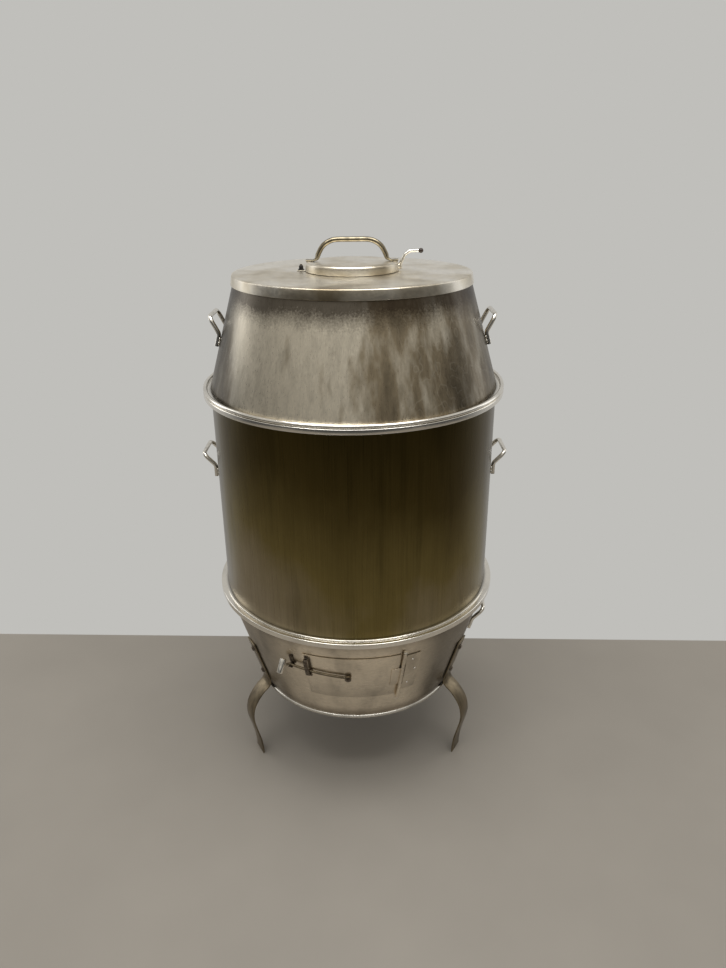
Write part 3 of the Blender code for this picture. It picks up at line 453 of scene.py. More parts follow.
def plain_steels(tint):
    """Finishes of one pattern.  Each row has its colour's pattern, the colours over that pattern,
    its grain, its dents, and the numbers for steel_surface; a pattern is what speckle takes."""
    return {
        # the fire base's rolled rim: the flanges' polish made rougher, its colour darkened as
        # painted shade by the floor
        "polished_rim_steel": (
            (60, 3.0), [(0.30, tint.bright, 0.55), (0.55, tint.bright, 0.8)],
            (1.8, 2.0, (10.0, 10.0, 1.0)), (90, 1.0), (0.20, 0.30, 0.04, 0.04)),
        # polished round bar turned straw and brown by the heat that rises through the vent
        "straw_tinted_bar": (
            (26, 3.0, (0.6, 1.0, 1.0)),
            [(0.30, tint.straw, 0.42), (0.52, tint.straw, 0.8), (0.72, tint.straw, 1.0)],
            (1.5, 2.0, (6.0, 1.0, 1.0)), (50, 1.0), (0.16, 0.28, 0.05, 0.03)),
        # bright drawn bar with fingerprints
        "polished_grip_bar": (
            (14, 4.0), [(0.30, tint.bright, 0.6), (0.50, tint.bright, 1.0)],
            (1.6, 2.0), (40, 1.0), (0.14, 0.26, 0.04, 0.03)),
        # plain bolts and straps gone dark grey-brown with heat and old fat
        "dull_fastener_steel": (
            (6, 4.0, (1.0, 1.0, 1.0), 0.7),
            [(0.32, linear("3B3028"), 1.0), (0.5, linear("6B6156"), 1.0),
             (0.7, linear("8E8679"), 1.0)],
            (1.2, 2.0), (20, 2.0), (0.32, 0.5, 0.15, 0.05)),
        # hot-rolled stainless strap, satin and dull
        "leg_strap_steel": (
            (22, 4.0, (1.0, 1.0, 3.0)),
            [(0.30, tint.hood_tan, 0.42), (0.55, tint.hood_tan, 0.75), (0.75, tint.hood_tan, 1.0)],
            (1.8, 2.0, (1.0, 1.0, 18.0)), (50, 2.0), (0.30, 0.45, 0.08, 0.05)),
        # liner sheet under a baked film of smoke and fat: brown-black, blotched, half matt
        "sooted_inner_steel": (
            (60, 5.0, (1.0, 1.0, 2.0)),
            [(0.30, tint.soot, 0.5), (0.5, tint.soot, 1.0), (0.70, linear("5A4A38"), 1.0)],
            (3.0, 4.0, (1.0, 1.0, 1.0), 0.7), (60, 5.0, (1.0, 1.0, 2.0)),
            (0.42, 0.68, 0.25, 0.10)),
        # black oxide on a small turned nut, mottled dark grey
        "black_oxide_nut": (
            (3.0, 3.0), [(0.40, linear("0E0D0C"), 1.0), (0.75, linear("2B2825"), 1.0)],
            (3.0, 3.0), (3.0, 3.0), (0.4, 0.6, 0.1, 0.02, 0.5)),
    }


def lay_plain_steel(mat, shader, tint):
    """One of the finishes of one pattern, found by its material's name."""
    pattern, shades, grain, dents, surface = plain_steels(tint)[mat.name]
    colour = add_node(mat, "ShaderNodeValToRGB", {"Fac": speckle(mat, *pattern)}, "Color",
                      [(place, paint(shade, level)) for place, shade, level in shades])
    steel_surface(mat, shader, colour, speckle(mat, *grain), speckle(mat, *dents), *surface)


def lay_grate_iron(mat, shader, tint):
    """Cast iron bars under flaking black scale with a dust of pale ash."""
    scale = speckle(mat, 9, 5.0, rough=0.7)
    ash = speckle(mat, 16, 5.0)
    colour = add_node(mat, "ShaderNodeValToRGB", {"Fac": scale}, "Color", [
        (0.32, paint(linear("15110F"))), (0.55, paint(linear("2E2824"))),
        (0.75, paint(linear("4A4038")))])
    dusted = add_node(mat, "ShaderNodeMapRange", {
        "Value": ash, "From Min": 0.55, "From Max": 0.75}, "Result")
    colour = stained(mat, colour, dusted, 0.5, paint(linear("8C857C")))
    steel_surface(mat, shader, colour, scale, ash, 0.6, 0.85, 0.4, 0.1, 0.6)


def lay_knob_phenolic(mat, shader, tint):
    """Moulded heat-proof phenolic, nearly black, with a soft gloss and fine moulding texture."""
    colour = add_node(mat, "ShaderNodeValToRGB", {"Fac": speckle(mat, 5.0, 2.0)}, "Color", [
        (0.35, paint(linear("241A14"))), (0.70, paint(linear("3A2C22")))])
    bump = add_node(mat, "ShaderNodeBump", {
        "Height": speckle(mat, 0.8, 2.0), "Strength": 0.15, "Distance": 0.1 * MM}, "Normal")
    shader.inputs["Roughness"].default_value = 0.38
    mat.node_tree.links.new(colour, shader.inputs["Base Color"])
    mat.node_tree.links.new(bump, shader.inputs["Normal"])


# each finish: its material's name, the slot it fills and the function that lays its nodes
FINISHES = {
    "barrel": ("heat_tinted_barrel_steel", "brushed_steel", lay_barrel_steel),
    "hood": ("scoured_hood_steel", "brushed_steel", lay_hood_steel),
    "fire_base": ("fire_base_steel", "brushed_steel", lay_fire_base_steel),
    "lid": ("lid_steel", "brushed_steel", lay_lid_steel),
    "leg": ("leg_strap_steel", "brushed_steel", lay_plain_steel),
    "flange": ("polished_flange_steel", "polished_steel", lay_flange_steel),
    "rim": ("polished_rim_steel", "polished_steel", lay_plain_steel),
    "grip": ("polished_grip_bar", "polished_steel", lay_plain_steel),
    "bow": ("straw_tinted_bar", "tinted_steel", lay_plain_steel),
    "fastener": ("dull_fastener_steel", "fastener_steel", lay_plain_steel),
    "soot": ("sooted_inner_steel", "sooted_steel", lay_plain_steel),
    "grate": ("scaled_grate_iron", "grate_iron", lay_grate_iron),
    "nut": ("black_oxide_nut", "black_parts", lay_plain_steel),
    "knob": ("brown_knob_phenolic", "knob_plastic", lay_knob_phenolic),
}


def give_finish(piece, name):
    """Give a piece its finish, which is made the first time that it is asked for."""
    title, slot, lay_nodes = FINISHES[name]
    mat = bpy.data.materials.get(title)
    if mat is None:
        mat, shader = new_material(title)
        lay_nodes(mat, shader, colours())
    piece.data.materials.clear()
    piece.data.materials.append(mat)


# ------------------------------------------------------------------ modelling by hand
def nothing_selected():
    active = bpy.context.view_layer.objects.active
    if active and active.mode != "OBJECT":
        bpy.ops.object.mode_set(mode="OBJECT")
    bpy.ops.object.select_all(action="DESELECT")


def pick(*pieces):
    """Select these pieces only, with the last one active."""
    nothing_selected()
    for piece in pieces:
        piece.select_set(True)
    bpy.context.view_layer.objects.active = pieces[-1]


def draw_line(name, points):
    """Draw a line through the points by extruding one vertex; the piece stays in edit mode."""
    nothing_selected()
    bpy.ops.mesh.primitive_plane_add(size=0.01)
    piece = bpy.context.object
    piece.name = name
    piece.data.name = name
    bpy.ops.object.mode_set(mode="EDIT")
    bpy.ops.mesh.select_mode(type="VERT")
    bpy.ops.mesh.select_all(action="SELECT")
    bpy.ops.mesh.merge(type="CENTER")
    points = [Vector(p) for p in points]
    bpy.ops.transform.translate(value=points[0])
    for here, following in zip(points, points[1:]):
        extrude(following - here)
    bpy.ops.mesh.select_all(action="SELECT")
    return piece


def extrude(step):
    bpy.ops.mesh.extrude_region_move(TRANSFORM_OT_translate={"value": step})


def spin(steps, angle):
    bpy.ops.mesh.spin(steps=steps, angle=angle, center=(0, 0, 0), axis=(0, 0, 1),
                      use_auto_merge=False)


def smooth_faces(angle=SMOOTH_ANGLE):
    bpy.ops.object.shade_smooth_by_angle(angle=math.radians(angle))


def leave_edit(piece, smooth_angle=SMOOTH_ANGLE, outward=True):
    """Merge doubles, turn the faces outward if the shape is closed, and smooth its round faces."""
    bpy.ops.mesh.select_all(action="SELECT")
    bpy.ops.mesh.remove_doubles(threshold=0.02 * MM)
    if outward:
        bpy.ops.mesh.normals_make_consistent(inside=False)
    bpy.ops.object.mode_set(mode="OBJECT")
    smooth_faces(smooth_angle)
    return piece


def turned(name, outline, steps=None, smooth_angle=SMOOTH_ANGLE):
    """Spin a closed outline of (radius, height) points round Z."""
    points = [(r, 0.0, z) for r, z in outline]
    piece = draw_line(name, points + [points[0]])
    spin(steps or sizes().round_steps, math.tau)
    return leave_edit(piece, smooth_angle)


def stand(piece, matrix):
    """Put a piece modelled at the origin in its place, with the place in its mesh."""
    pick(piece)
    piece.matrix_world = matrix
    bpy.ops.object.transform_apply(location=True, rotation=True, scale=True)
    return piece


def facing(place, normal):
    """Matrix that stands a piece on a place with its Z along a normal."""
    turn = Vector((0, 0, 1)).rotation_difference(Vector(normal)).to_matrix().to_4x4()
    return Matrix.Translation(Vector(place)) @ turn


def modify(piece, kind, **settings):
    """Apply one modifier with its settings."""
    pick(piece)
    modifier = piece.modifiers.new(kind.lower(), kind)
    for name, value in settings.items():
        setattr(modifier, name, value)
    bpy.ops.object.modifier_apply(modifier=modifier.name)


def thicken(piece, thickness, offset, edge):
    """Give a sheet its thickness and break its edges."""
    modify(piece, "SOLIDIFY", thickness=thickness, offset=offset)
    if edge:
        modify(piece, "BEVEL", width=edge, segments=2, limit_method="ANGLE",
               angle_limit=math.radians(40))
    smooth_faces()
    return piece


def cone_sheet(name, west, east, start, end, off, steps):
    """Open sheet that follows the fire base between two azimuths and two heights."""
    piece = draw_line(name, [on_base(east, start, off), on_base(east, end, off)])
    spin(steps, math.radians(east - west))
    return leave_edit(piece, outward=False)


def cone_plate(name, west, east, start, end, off, thickness, steps=24):
    """Plate on the fire base whose inner face stands off the cone."""
    piece = cone_sheet(name, west, east, start, end, off, steps)
    return thicken(piece, thickness, 1.0, sizes().plate_edge)


def strip(name, centre_line, across, thickness, edge):
    """Flat strap bent along a line, its width given by the vector across."""
    piece = draw_line(name, [Vector(p) - across / 2 for p in centre_line])
    extrude(across)
    leave_edit(piece, outward=False)
    return thicken(piece, thickness, 0.0, edge)


def fillet(points, radius, steps=8):
    """The points with each inner corner replaced by an arc of about this radius."""
    points = [Vector(p) for p in points]
    path = [points[0]]
    for before, corner, after in zip(points, points[1:], points[2:]):
        a = (before - corner).normalized()
        b = (after - corner).normalized()
        half = a.angle(b) / 2
        cut = min(radius / math.tan(half), 0.48 * (before - corner).length,
                  0.48 * (after - corner).length)
        arc = cut * math.tan(half)
        centre = corner + (a + b).normalized() * math.hypot(cut, arc)
        start = corner + a * cut - centre
        end = corner + b * cut - centre
        path += [centre + start.normalized().slerp(end.normalized(), i / steps) * start.length
                 for i in range(steps + 1)]
    path.append(points[-1])
    return path


def smooth_line(points, steps=6):
    """Smooth curve through the points, by Catmull and Rom's rule."""
    points = [Vector(p) for p in points]
    line = []
    for i in range(len(points) - 1):
        p0, p1, p2, p3 = (points[max(i - 1, 0)], points[i], points[i + 1],
                          points[min(i + 2, len(points) - 1)])
        for j in range(steps):
            t = j / steps
            line.append(0.5 * (2 * p1 + (p2 - p0) * t + (2 * p0 - 5 * p1 + 4 * p2 - p3) * t ** 2
                               + (3 * p1 - p0 - 3 * p2 + p3) * t ** 3))
    line.append(points[-1])
    return line


def bent_bar(name, path, radius, resolution=6):
    """Round bar along a path: a curve with a round bevel and filled ends, made a mesh."""
    nothing_selected()
    bpy.ops.curve.primitive_nurbs_path_add()
    piece = bpy.context.object
    piece.name = name
    curve = piece.data
    curve.splines.clear()
    spline = curve.splines.new("POLY")
    spline.points.add(len(path) - 1)
    for point, place in zip(spline.points, path):
        point.co = (*place, 1.0)
    curve.bevel_depth = radius
    curve.bevel_resolution = resolution
    curve.use_fill_caps = True
    bpy.ops.object.convert(target="MESH")
    piece = bpy.context.object
    piece.data.name = name
    bpy.ops.object.mode_set(mode="EDIT")
    return leave_edit(piece, 40.0)


def combine(piece, operation, other):
    """Boolean of a piece with another shape, which is then thrown away."""
    modify(piece, "BOOLEAN", operation=operation, object=other)
    bpy.data.objects.remove(other, do_unlink=True)
    smooth_faces()
    return piece


def drill(piece, radius, height):
    """Make the bolt hole at the vent cap's pivot."""
    cutter = turned("drill", [(0.0, -DRILL_HALF), (radius, -DRILL_HALF), (radius, DRILL_HALF),
                              (0.0, DRILL_HALF)], steps=24)
    stand(cutter, Matrix.Translation((PIVOT.x, PIVOT.y, height)))
    combine(piece, "DIFFERENCE", cutter)


def weld_bead(place, normal, along, length, width, height):
    """Small oval run of weld metal."""
    nothing_selected()
    bpy.ops.mesh.primitive_uv_sphere_add(segments=16, ring_count=8, radius=1.0)
    bead = bpy.context.object
    side = along.cross(normal).normalized()
    turn = Matrix((along.normalized(), side, normal.normalized())).transposed().to_4x4()
    size = Matrix.Diagonal((length / 2, width / 2, height, 1.0))
    stand(bead, Matrix.Translation(place) @ turn @ size)
    bpy.ops.object.shade_smooth()
    return bead


def join_on(piece, others):
    """Put weld beads and other touching lumps in the same mesh as a piece."""
    pick(*others, piece)
    bpy.ops.object.join()
    return piece


def seat(piece, body, finish_name, *nodes):
    """Finish a piece, fix it to its body and hide the frame nodes it stands for."""
    give_finish(piece, finish_name)
    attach(piece, body)
    if nodes:
        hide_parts(*nodes)
    return piece


def rounded_bar_outline(radius, start, end, corner, steps=4):
    """Outline of a solid round bar from one height to another with rounded ends."""
    return ([(0.0, start)] + arc(radius - corner, start + corner, corner, -90, 0, steps)
            + arc(radius - corner, end - corner, corner, 0, 90, steps) + [(0.0, end)])


def folded_flange(name, node):
    """Ring of sheet with its outer edge folded down, as wide and as high as its frame node."""
    sheet, hem = sizes().sheet, sizes().hem
    out, start, end = reach(node), low(node), top(node)
    inner = bore_radius(node, end)
    return turned(name, [(inner, end - sheet), (out - sheet, end - sheet), (out - sheet, start)]
                  + arc(out - hem, start + hem, hem, -90, 0, 4)
                  + arc(out - 2 * hem, end - 2 * hem, 2 * hem, 0, 90, 5) + [(inner, end)])


def tube_outline(inner, outer, start, end, corner):
    """Outline of a tube with chamfered outer edges."""
    return [(inner, start), (outer - corner, start), (outer, start + corner),
            (outer, end - corner), (outer - corner, end), (inner, end)]


def arc(centre_r, centre_z, radius, start, end, steps=6):
    """Points on an arc in the (radius, height) plane; angles in degrees from straight out."""
    turns = [math.radians(start + (end - start) * i / steps) for i in range(steps + 1)]
    return [(centre_r + radius * math.cos(a), centre_z + radius * math.sin(a)) for a in turns]


# ------------------------------------------------------------------ fire base
class ROASTER_OT_fire_base(bpy.types.Operator):
    """Build the fire base: cone with its door opening, rolled rim and folded top flange"""
    bl_idname = "roaster.fire_base"
    bl_label = "Fire Base"

    def execute(self, context):
        sheet, hem = sizes().sheet, sizes().hem
        lap = math.degrees(sizes().door_lap)
        shell = turned("fire_base_shell", [
            (BASE_LOW_R, BASE_LOW), (BASE_TOP_R, BASE_TOP), (BASE_TOP_R - sheet, BASE_TOP),
            (BASE_LOW_R - sheet, BASE_LOW)])
        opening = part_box("door_jamb")
        cutter = cone_sheet("door_cutter", DOOR_WEST + lap, DOOR_EAST - lap, opening[0].z + sheet,
                            opening[1].z - sheet, -12 * MM, 32)
        thicken(cutter, 30 * MM, 1.0, 0.0)
        combine(shell, "DIFFERENCE", cutter)
        seat(shell, "base", "fire_base", "base_outer_shell")

        seam, upper = [
            weld_bead(on_base(SEAM_AT, (start + end) / 2 + lift, 0.0), base_normal(SEAM_AT),
                      on_base(SEAM_AT, end, 0.0) - on_base(SEAM_AT, start, 0.0),
                      (end - start) * share, 3.0 * MM, 0.5 * MM)
            for start, end, share, lift in ((BASE_LOW, DOOR_LOW, 0.80, 4 * MM),
                                            (DOOR_TOP, BASE_TOP, 0.72, 0.0))]
        seat(join_on(seam, [upper]), "base", "fire_base")
        seam.name = "fire_base_seam"

        node = "base_bottom_rim"
        out, start, end = reach(node), low(node), top(node)
        inner = bore_radius(node, start)
        bead = (end - start) / 2
        rim = turned("fire_base_rim", [(inner, start + hem)]
                     + arc(inner + hem, start + hem, hem, 180, 270)
                     + arc(out - bead, start + bead, bead, -90, 90, 12)
                     + arc(inner + hem, end - hem, hem, 90, 180))
        seat(rim, "base", "rim", node)
        seat(folded_flange("fire_base_flange", "base_top_flange"), "base", "flange",
             "base_top_flange")
        return {"FINISHED"}


class ROASTER_OT_inner_walls(bpy.types.Operator):
    """Build the smooth inner liners, trays and collar that show when the oven is opened"""
    bl_idname = "roaster.inner_walls"
    bl_label = "Inner Walls"

    def execute(self, context):
        sheet = sizes().sheet
        plate = 1.5 * MM
        for node, body in (("barrel_inner_liner", "barrel"), ("hood_inner_liner", "hood")):
            start, end = low(node), top(node)
            start_r, end_r = ring_radius(node, start), ring_radius(node, end)
            liner = turned(node.replace("inner_liner", "lining"), [
                (start_r, start), (end_r, end), (end_r - sheet, end), (start_r - sheet, start)])
            seat(liner, body, "soot", node)
        start, end = low("drip_tray"), top("drip_tray")
        inner, outer = bore_radius("drip_tray", start), reach("drip_tray")
        tray = turned("fat_tray", [(inner, start)]
                      + arc(outer - 3 * MM, start + 3 * MM, 3 * MM, -90, 0)
                      + arc(outer - plate / 2, end - plate / 2, plate / 2, 0, 180, 4)
                      + [(outer - plate, start + plate), (inner + plate, start + plate)]
                      + arc(inner + plate / 2, end - plate / 2, plate / 2, 0, 180, 4))
        seat(tray, "barrel", "soot", "drip_tray")
        node = "hood_top_collar"
        start, end = low(node), top(node)
        collar = turned("hood_collar", [
            (bore_radius(node, start), start), (reach(node), start), (reach(node), end),
            (bore_radius(node, end), end)])
        seat(collar, "hood", "soot", node)
        for node in ("base_inner_liner", "base_floor_plate", "door_jamb", "ash_pan", "rack_lug_1",
                     "rack_lug_2", "rack_lug_3"):
            give_finish(frame["nodes"][node], "soot")
        give_finish(frame["nodes"]["charcoal_grate"], "grate")
        give_finish(frame["nodes"]["hanging_rack"], "leg")
        give_finish(frame["nodes"]["cap_pivot_bolt"], "fastener")
        return {"FINISHED"}


class ROASTER_OT_legs(bpy.types.Operator):
    """Build the three strap legs and their bolts"""
    bl_idname = "roaster.legs"
    bl_label = "Strap Legs"

    def execute(self, context):
        thick = sizes().leg_thick
        off_wall = 0.9 * MM
        for side in ("left", "right", "rear"):
            azimuth = azimuth_of(middle("leg_%s_bolt_upper" % side))
            out = direction(azimuth)
            centre = [(base_radius(z) + off_wall + thick / 2, z) for z in LEG_FLAT]
            centre += LEG_BOW
            line = smooth_line([Vector((r, z)) for r, z in centre])
            path = [out * p.x + Vector((0, 0, p.y)) for p in line]
            across = direction(azimuth + 90.0) * sizes().leg_width
            leg = strip("strap_leg_" + side, path, across, thick, 0.7 * MM)
            seat(leg, "base", "leg", "leg_" + side)
            for level in ("upper", "lower"):
                node = "leg_%s_bolt_%s" % (side, level)
                bolt = hexagon_bolt("strap_bolt_%s_%s" % (side, level), 6.5 * MM, 5.0 * MM)
                normal = base_normal(azimuth)
                stand(bolt, facing(middle(node) - normal * 2.5 * MM, normal))
                seat(bolt, "base", "fastener", node)
        return {"FINISHED"}


def hexagon_bolt(name, radius, height):
    """Hexagon head on a round washer face, its top corners turned off."""
    head = turned(name, [
        (0.0, 0.0), (radius, 0.0), (radius, 0.78 * height), (0.86 * radius, height),
        (0.0, height)], steps=6, smooth_angle=20.0)
    washer = turned(name + "_washer", [
        (0.0, 0.0), (1.32 * radius, 0.0), (1.32 * radius, 0.20 * height), (0.0, 0.20 * height)],
        steps=32)
    return join_on(head, [washer])


# ------------------------------------------------------------------ fire door and latch
class ROASTER_OT_fire_door(bpy.types.Operator):
    """Build the fire door with its hinge leaves, knuckles, pin and rivets"""
    bl_idname = "roaster.fire_door"
    bl_label = "Fire Door"

    def execute(self, context):
        panel = cone_plate("door_panel", DOOR_WEST, DOOR_EAST, DOOR_LOW, DOOR_TOP, 1.2 * MM,
                           2.0 * MM, 40)
        seat(panel, "fire_door", "fire_base", "fire_door")

        knuckle_r, bore = 5.0 * MM, 2.9 * MM
        pin_low, pin_top = low("door_hinge_pin"), top("door_hinge_pin")
        start, end = low("hinge_fixed_leaf"), top("hinge_fixed_leaf")
        door_start, door_end = low("door_hinge_leaf"), top("door_hinge_leaf")
        gap = 0.8 * MM

        def knuckle(name, from_z, to_z):
            length = (on_hinge(to_z) - on_hinge(from_z)).length
            tube = turned(name, tube_outline(bore, knuckle_r, 0.0, length, 0.5 * MM), steps=32)
            return stand(tube, facing(on_hinge(from_z), HINGE_AXIS))

        leaf_west = azimuth_of(middle("hinge_rivet_3")) - 2.3
        leaf_east = azimuth_span("hinge_fixed_leaf")[1]
        leaf = cone_plate("wall_leaf", leaf_west, leaf_east, DOOR_LOW + 12 * MM,
                          DOOR_TOP - 10 * MM, 1.1 * MM, 2.0 * MM, 10)
        links = [cone_plate("leaf_link_%d" % i, leaf_west - 1.6, leaf_west + 0.4, a, b, 1.5 * MM,
                            1.2 * MM, 3)
                 for i, (a, b) in enumerate(((DOOR_LOW + 16 * MM, door_start - 4 * MM),
                                             (door_end + 4 * MM, DOOR_TOP - 14 * MM)))]
        lower = knuckle("lower_knuckle", start + 1.3 * MM, door_start - gap)
        upper = knuckle("upper_knuckle", door_end + gap, end - 1.3 * MM)
        join_on(leaf, links + [lower, upper])
        seat(leaf, "base", "fire_base", "hinge_fixed_leaf")

        strap = cone_plate("door_leaf", DOOR_EAST - 3.4, DOOR_EAST + 1.0, door_start + 4 * MM,
                           door_end - 4 * MM, 3.9 * MM, 1.5 * MM, 8)
        join_on(strap, [knuckle("door_knuckle", door_start + gap, door_end - gap)])
        seat(strap, "fire_door", "fire_base", "door_hinge_leaf")

        length = (on_hinge(pin_top) - on_hinge(pin_low)).length
        pin = turned("hinge_pin", rounded_bar_outline(2.5 * MM, 0.0, length - 2 * MM, 0.6 * MM),
                     steps=24)
        head = turned("pin_head", rounded_bar_outline(
            knuckle_r, length - 5 * MM, length - 0.6 * MM, 1.4 * MM), steps=32)
        combine(pin, "UNION", head)
        stand(pin, facing(on_hinge(pin_low), HINGE_AXIS))
        seat(pin, "base", "grip", "door_hinge_pin")

        for i in (1, 2, 3):
            node = "hinge_rivet_%d" % i
            normal = base_normal(azimuth_of(middle(node)))
            radius, height = 3.6 * MM, 2.2 * MM
            dome = [(radius * math.cos(a), height * math.sin(a))
                    for a in (math.pi / 2 * k / 6 for k in range(6))]
            rivet = turned("leaf_rivet_%d" % i, [(0.0, 0.0)] + dome + [(0.0, height)], steps=24)
            stand(rivet, facing(middle(node) - normal * height / 2, normal))
            seat(rivet, "base", "grip", node)
        return {"FINISHED"}


class ROASTER_OT_latch(bpy.types.Operator):
    """Build the latch bar with its eye and knob, its bolt, its guide and its catch"""
    bl_idname = "roaster.latch"
    bl_label = "Door Latch"

    def execute(self, context):
        stand_off, bar_r = 9.5 * MM, sizes().latch_bar
        eye_at = azimuth_of(LATCH_POINT)
        catch_at, knob_at = azimuth_of(middle("latch_catch")), azimuth_of(middle("latch_knob"))
        eye_z, climb, knob_off = 0.415, 17 * MM, 28 * MM
        normal = base_normal(eye_at)

        def along_bar(azimuth):
            """Centre of the bar, which climbs to the catch and then bends out to the knob."""
            share = min((eye_at - azimuth) / (eye_at - catch_at), 1.0)
            start_bend = catch_at - 0.7
            bend = max(0.0, (start_bend - azimuth) / (start_bend - knob_at))
            off = stand_off + (knob_off - stand_off) * bend
            return on_base(azimuth, eye_z + climb * share, off)

        start, end = eye_at - 1.2, knob_at + 1.2
        steps = 40
        route = [along_bar(start + (end - start) * i / steps) for i in range(steps + 1)]
        bar = bent_bar("latch_bar", route, bar_r, 5)
        eye_r, hole_r, eye_half = 9.0 * MM, 3.9 * MM, 3.2 * MM
        eye = turned("latch_eye", tube_outline(hole_r, eye_r, -eye_half, eye_half, 1.0 * MM),
                     steps=40)
        stand(eye, facing(LATCH_POINT, normal))
        seat(join_on(bar, [eye]), "latch", "leg", "latch_rod")

        # the knob is a short cylinder welded across the bar's end, its foot leaning out
        knob_r, half, lean = 8.5 * MM, 20 * MM, math.radians(30)
        along = direction(knob_at) * math.sin(lean) - Vector((0, 0, math.cos(lean)))
        knob = turned("latch_grip", rounded_bar_outline(knob_r, -half, half, 1.8 * MM),
                      steps=40)
        stand(knob, facing(middle("latch_knob"), along))
        seat(knob, "latch", "grip", "latch_knob")

        foot = on_base(eye_at, eye_z, 0.0) + normal * 3.6 * MM
        bolt = turned("latch_bolt", rounded_bar_outline(3.4 * MM, 0.0, 10 * MM, 0.4 * MM),
                      steps=24)
        stand(bolt, facing(foot, normal))
        head = hexagon_bolt("latch_bolt_head", 6.6 * MM, 3.8 * MM)
        stand(head, facing(foot + normal * 9.6 * MM, normal))
        seat(join_on(bolt, [head]), "fire_door", "fastener", "latch_pivot_bolt")

        self.build_guide(stand_off + bar_r)
        self.build_catch(catch_at, stand_off, bar_r, eye_z + climb)
        return {"FINISHED"}

    def build_guide(self, clear):
        azimuth = azimuth_of(middle("latch_guide"))
        start, end = low("latch_guide"), top("latch_guide")
        thick, foot_off, foot = 2.2 * MM, 3.6 * MM, 10 * MM
        feet_at, bridge_at = foot_off + thick / 2, clear + 1.6 * MM + thick / 2
        corners = [(start, feet_at), (start + foot, feet_at), (start + foot, bridge_at),
                   (end - foot, bridge_at), (end - foot, feet_at), (end, feet_at)]
        path = fillet([on_base(azimuth, z, off) for z, off in corners], 3.0 * MM, 5)
        across = direction(azimuth + 90.0) * 12 * MM
        guide = strip("latch_loop", path, across, thick, 0.4 * MM)
        rivets = []
        for z in (start + foot * 0.4, end - foot * 0.4):
            rivet = turned("loop_rivet", rounded_bar_outline(2.4 * MM, 0.0, 2.4 * MM, 1.0 * MM),
                           steps=16)
            rivets.append(stand(rivet, facing(on_base(azimuth, z, foot_off + thick - 1 * MM),
                                              base_normal(azimuth))))
        seat(join_on(guide, rivets), "fire_door", "fastener", "latch_guide")

    def build_catch(self, azimuth, stand_off, bar_r, bar_z):
        thick = 2.0 * MM
        shelf = bar_z - bar_r - 1.5 * MM - thick / 2
        back = 1.2 * MM + thick / 2
        corners = [(bar_z + 30 * MM, back), (shelf, back), (shelf, stand_off + 7 * MM)]
        path = fillet([on_base(azimuth, z, off) for z, off in corners], 2.4 * MM, 5)
        across = direction(azimuth + 90.0) * 12 * MM
        catch = strip("latch_bracket", path, across, thick, 0.4 * MM)
        seat(catch, "base", "fastener", "latch_catch")


# ------------------------------------------------------------------ barrel and hood
class ROASTER_OT_barrel(bpy.types.Operator):
    """Build the barrel: straight shell, foot ring and folded top flange"""
    bl_idname = "roaster.barrel"
    bl_label = "Barrel"

    def execute(self, context):
        sheet = sizes().sheet
        steps = 24
        outer = [(BARREL_R, BARREL_LOW + (BARREL_TOP - BARREL_LOW) * i / steps)
                 for i in range(steps + 1)]
        shell = turned("barrel_shell", outer + [(BARREL_R - sheet, BARREL_TOP),
                                                (BARREL_R - sheet, BARREL_LOW)])
        seat(shell, "barrel", "barrel", "barrel_outer_shell")

        node = "barrel_foot_ring"
        out, start, end = reach(node), low(node), top(node)
        inner = bore_radius(node, start)
        bead = (end - start) / 2
        foot = turned("barrel_foot", [(inner, start)]
                      + arc(out - bead, start + bead, bead, -90, 90, 8) + [(inner, end)])
        seat(foot, "barrel", "flange", node)
        seat(folded_flange("barrel_flange", "barrel_top_flange"), "barrel", "flange",
             "barrel_top_flange")
        return {"FINISHED"}


class ROASTER_OT_hood(bpy.types.Operator):
    """Build the hood: cone and flange with its rolled bead"""
    bl_idname = "roaster.hood"
    bl_label = "Hood"

    def execute(self, context):
        sheet = sizes().sheet
        steps = 16
        heights = [HOOD_LOW + (HOOD_TOP - HOOD_LOW) * i / steps for i in range(steps + 1)]
        outer = [(hood_radius(height), height) for height in heights]
        shell = turned("hood_shell", outer + [(HOOD_TOP_R - sheet, HOOD_TOP),
                                              (HOOD_LOW_R - sheet, HOOD_LOW)])
        seat(shell, "hood", "hood", "hood_outer_shell")

        node = "hood_bottom_flange"
        out, start, end = reach(node), low(node), top(node)
        inner = bore_radius(node, start)
        bead = (end - start) / 2
        flange = turned("hood_flange", [(inner, start)]
                        + arc(out - bead, start + bead, bead, -90, 200, 22)
                        + [(out - 2 * bead - 1 * MM, start + sheet), (inner, start + sheet)])
        seat(flange, "hood", "flange", node)
        return {"FINISHED"}


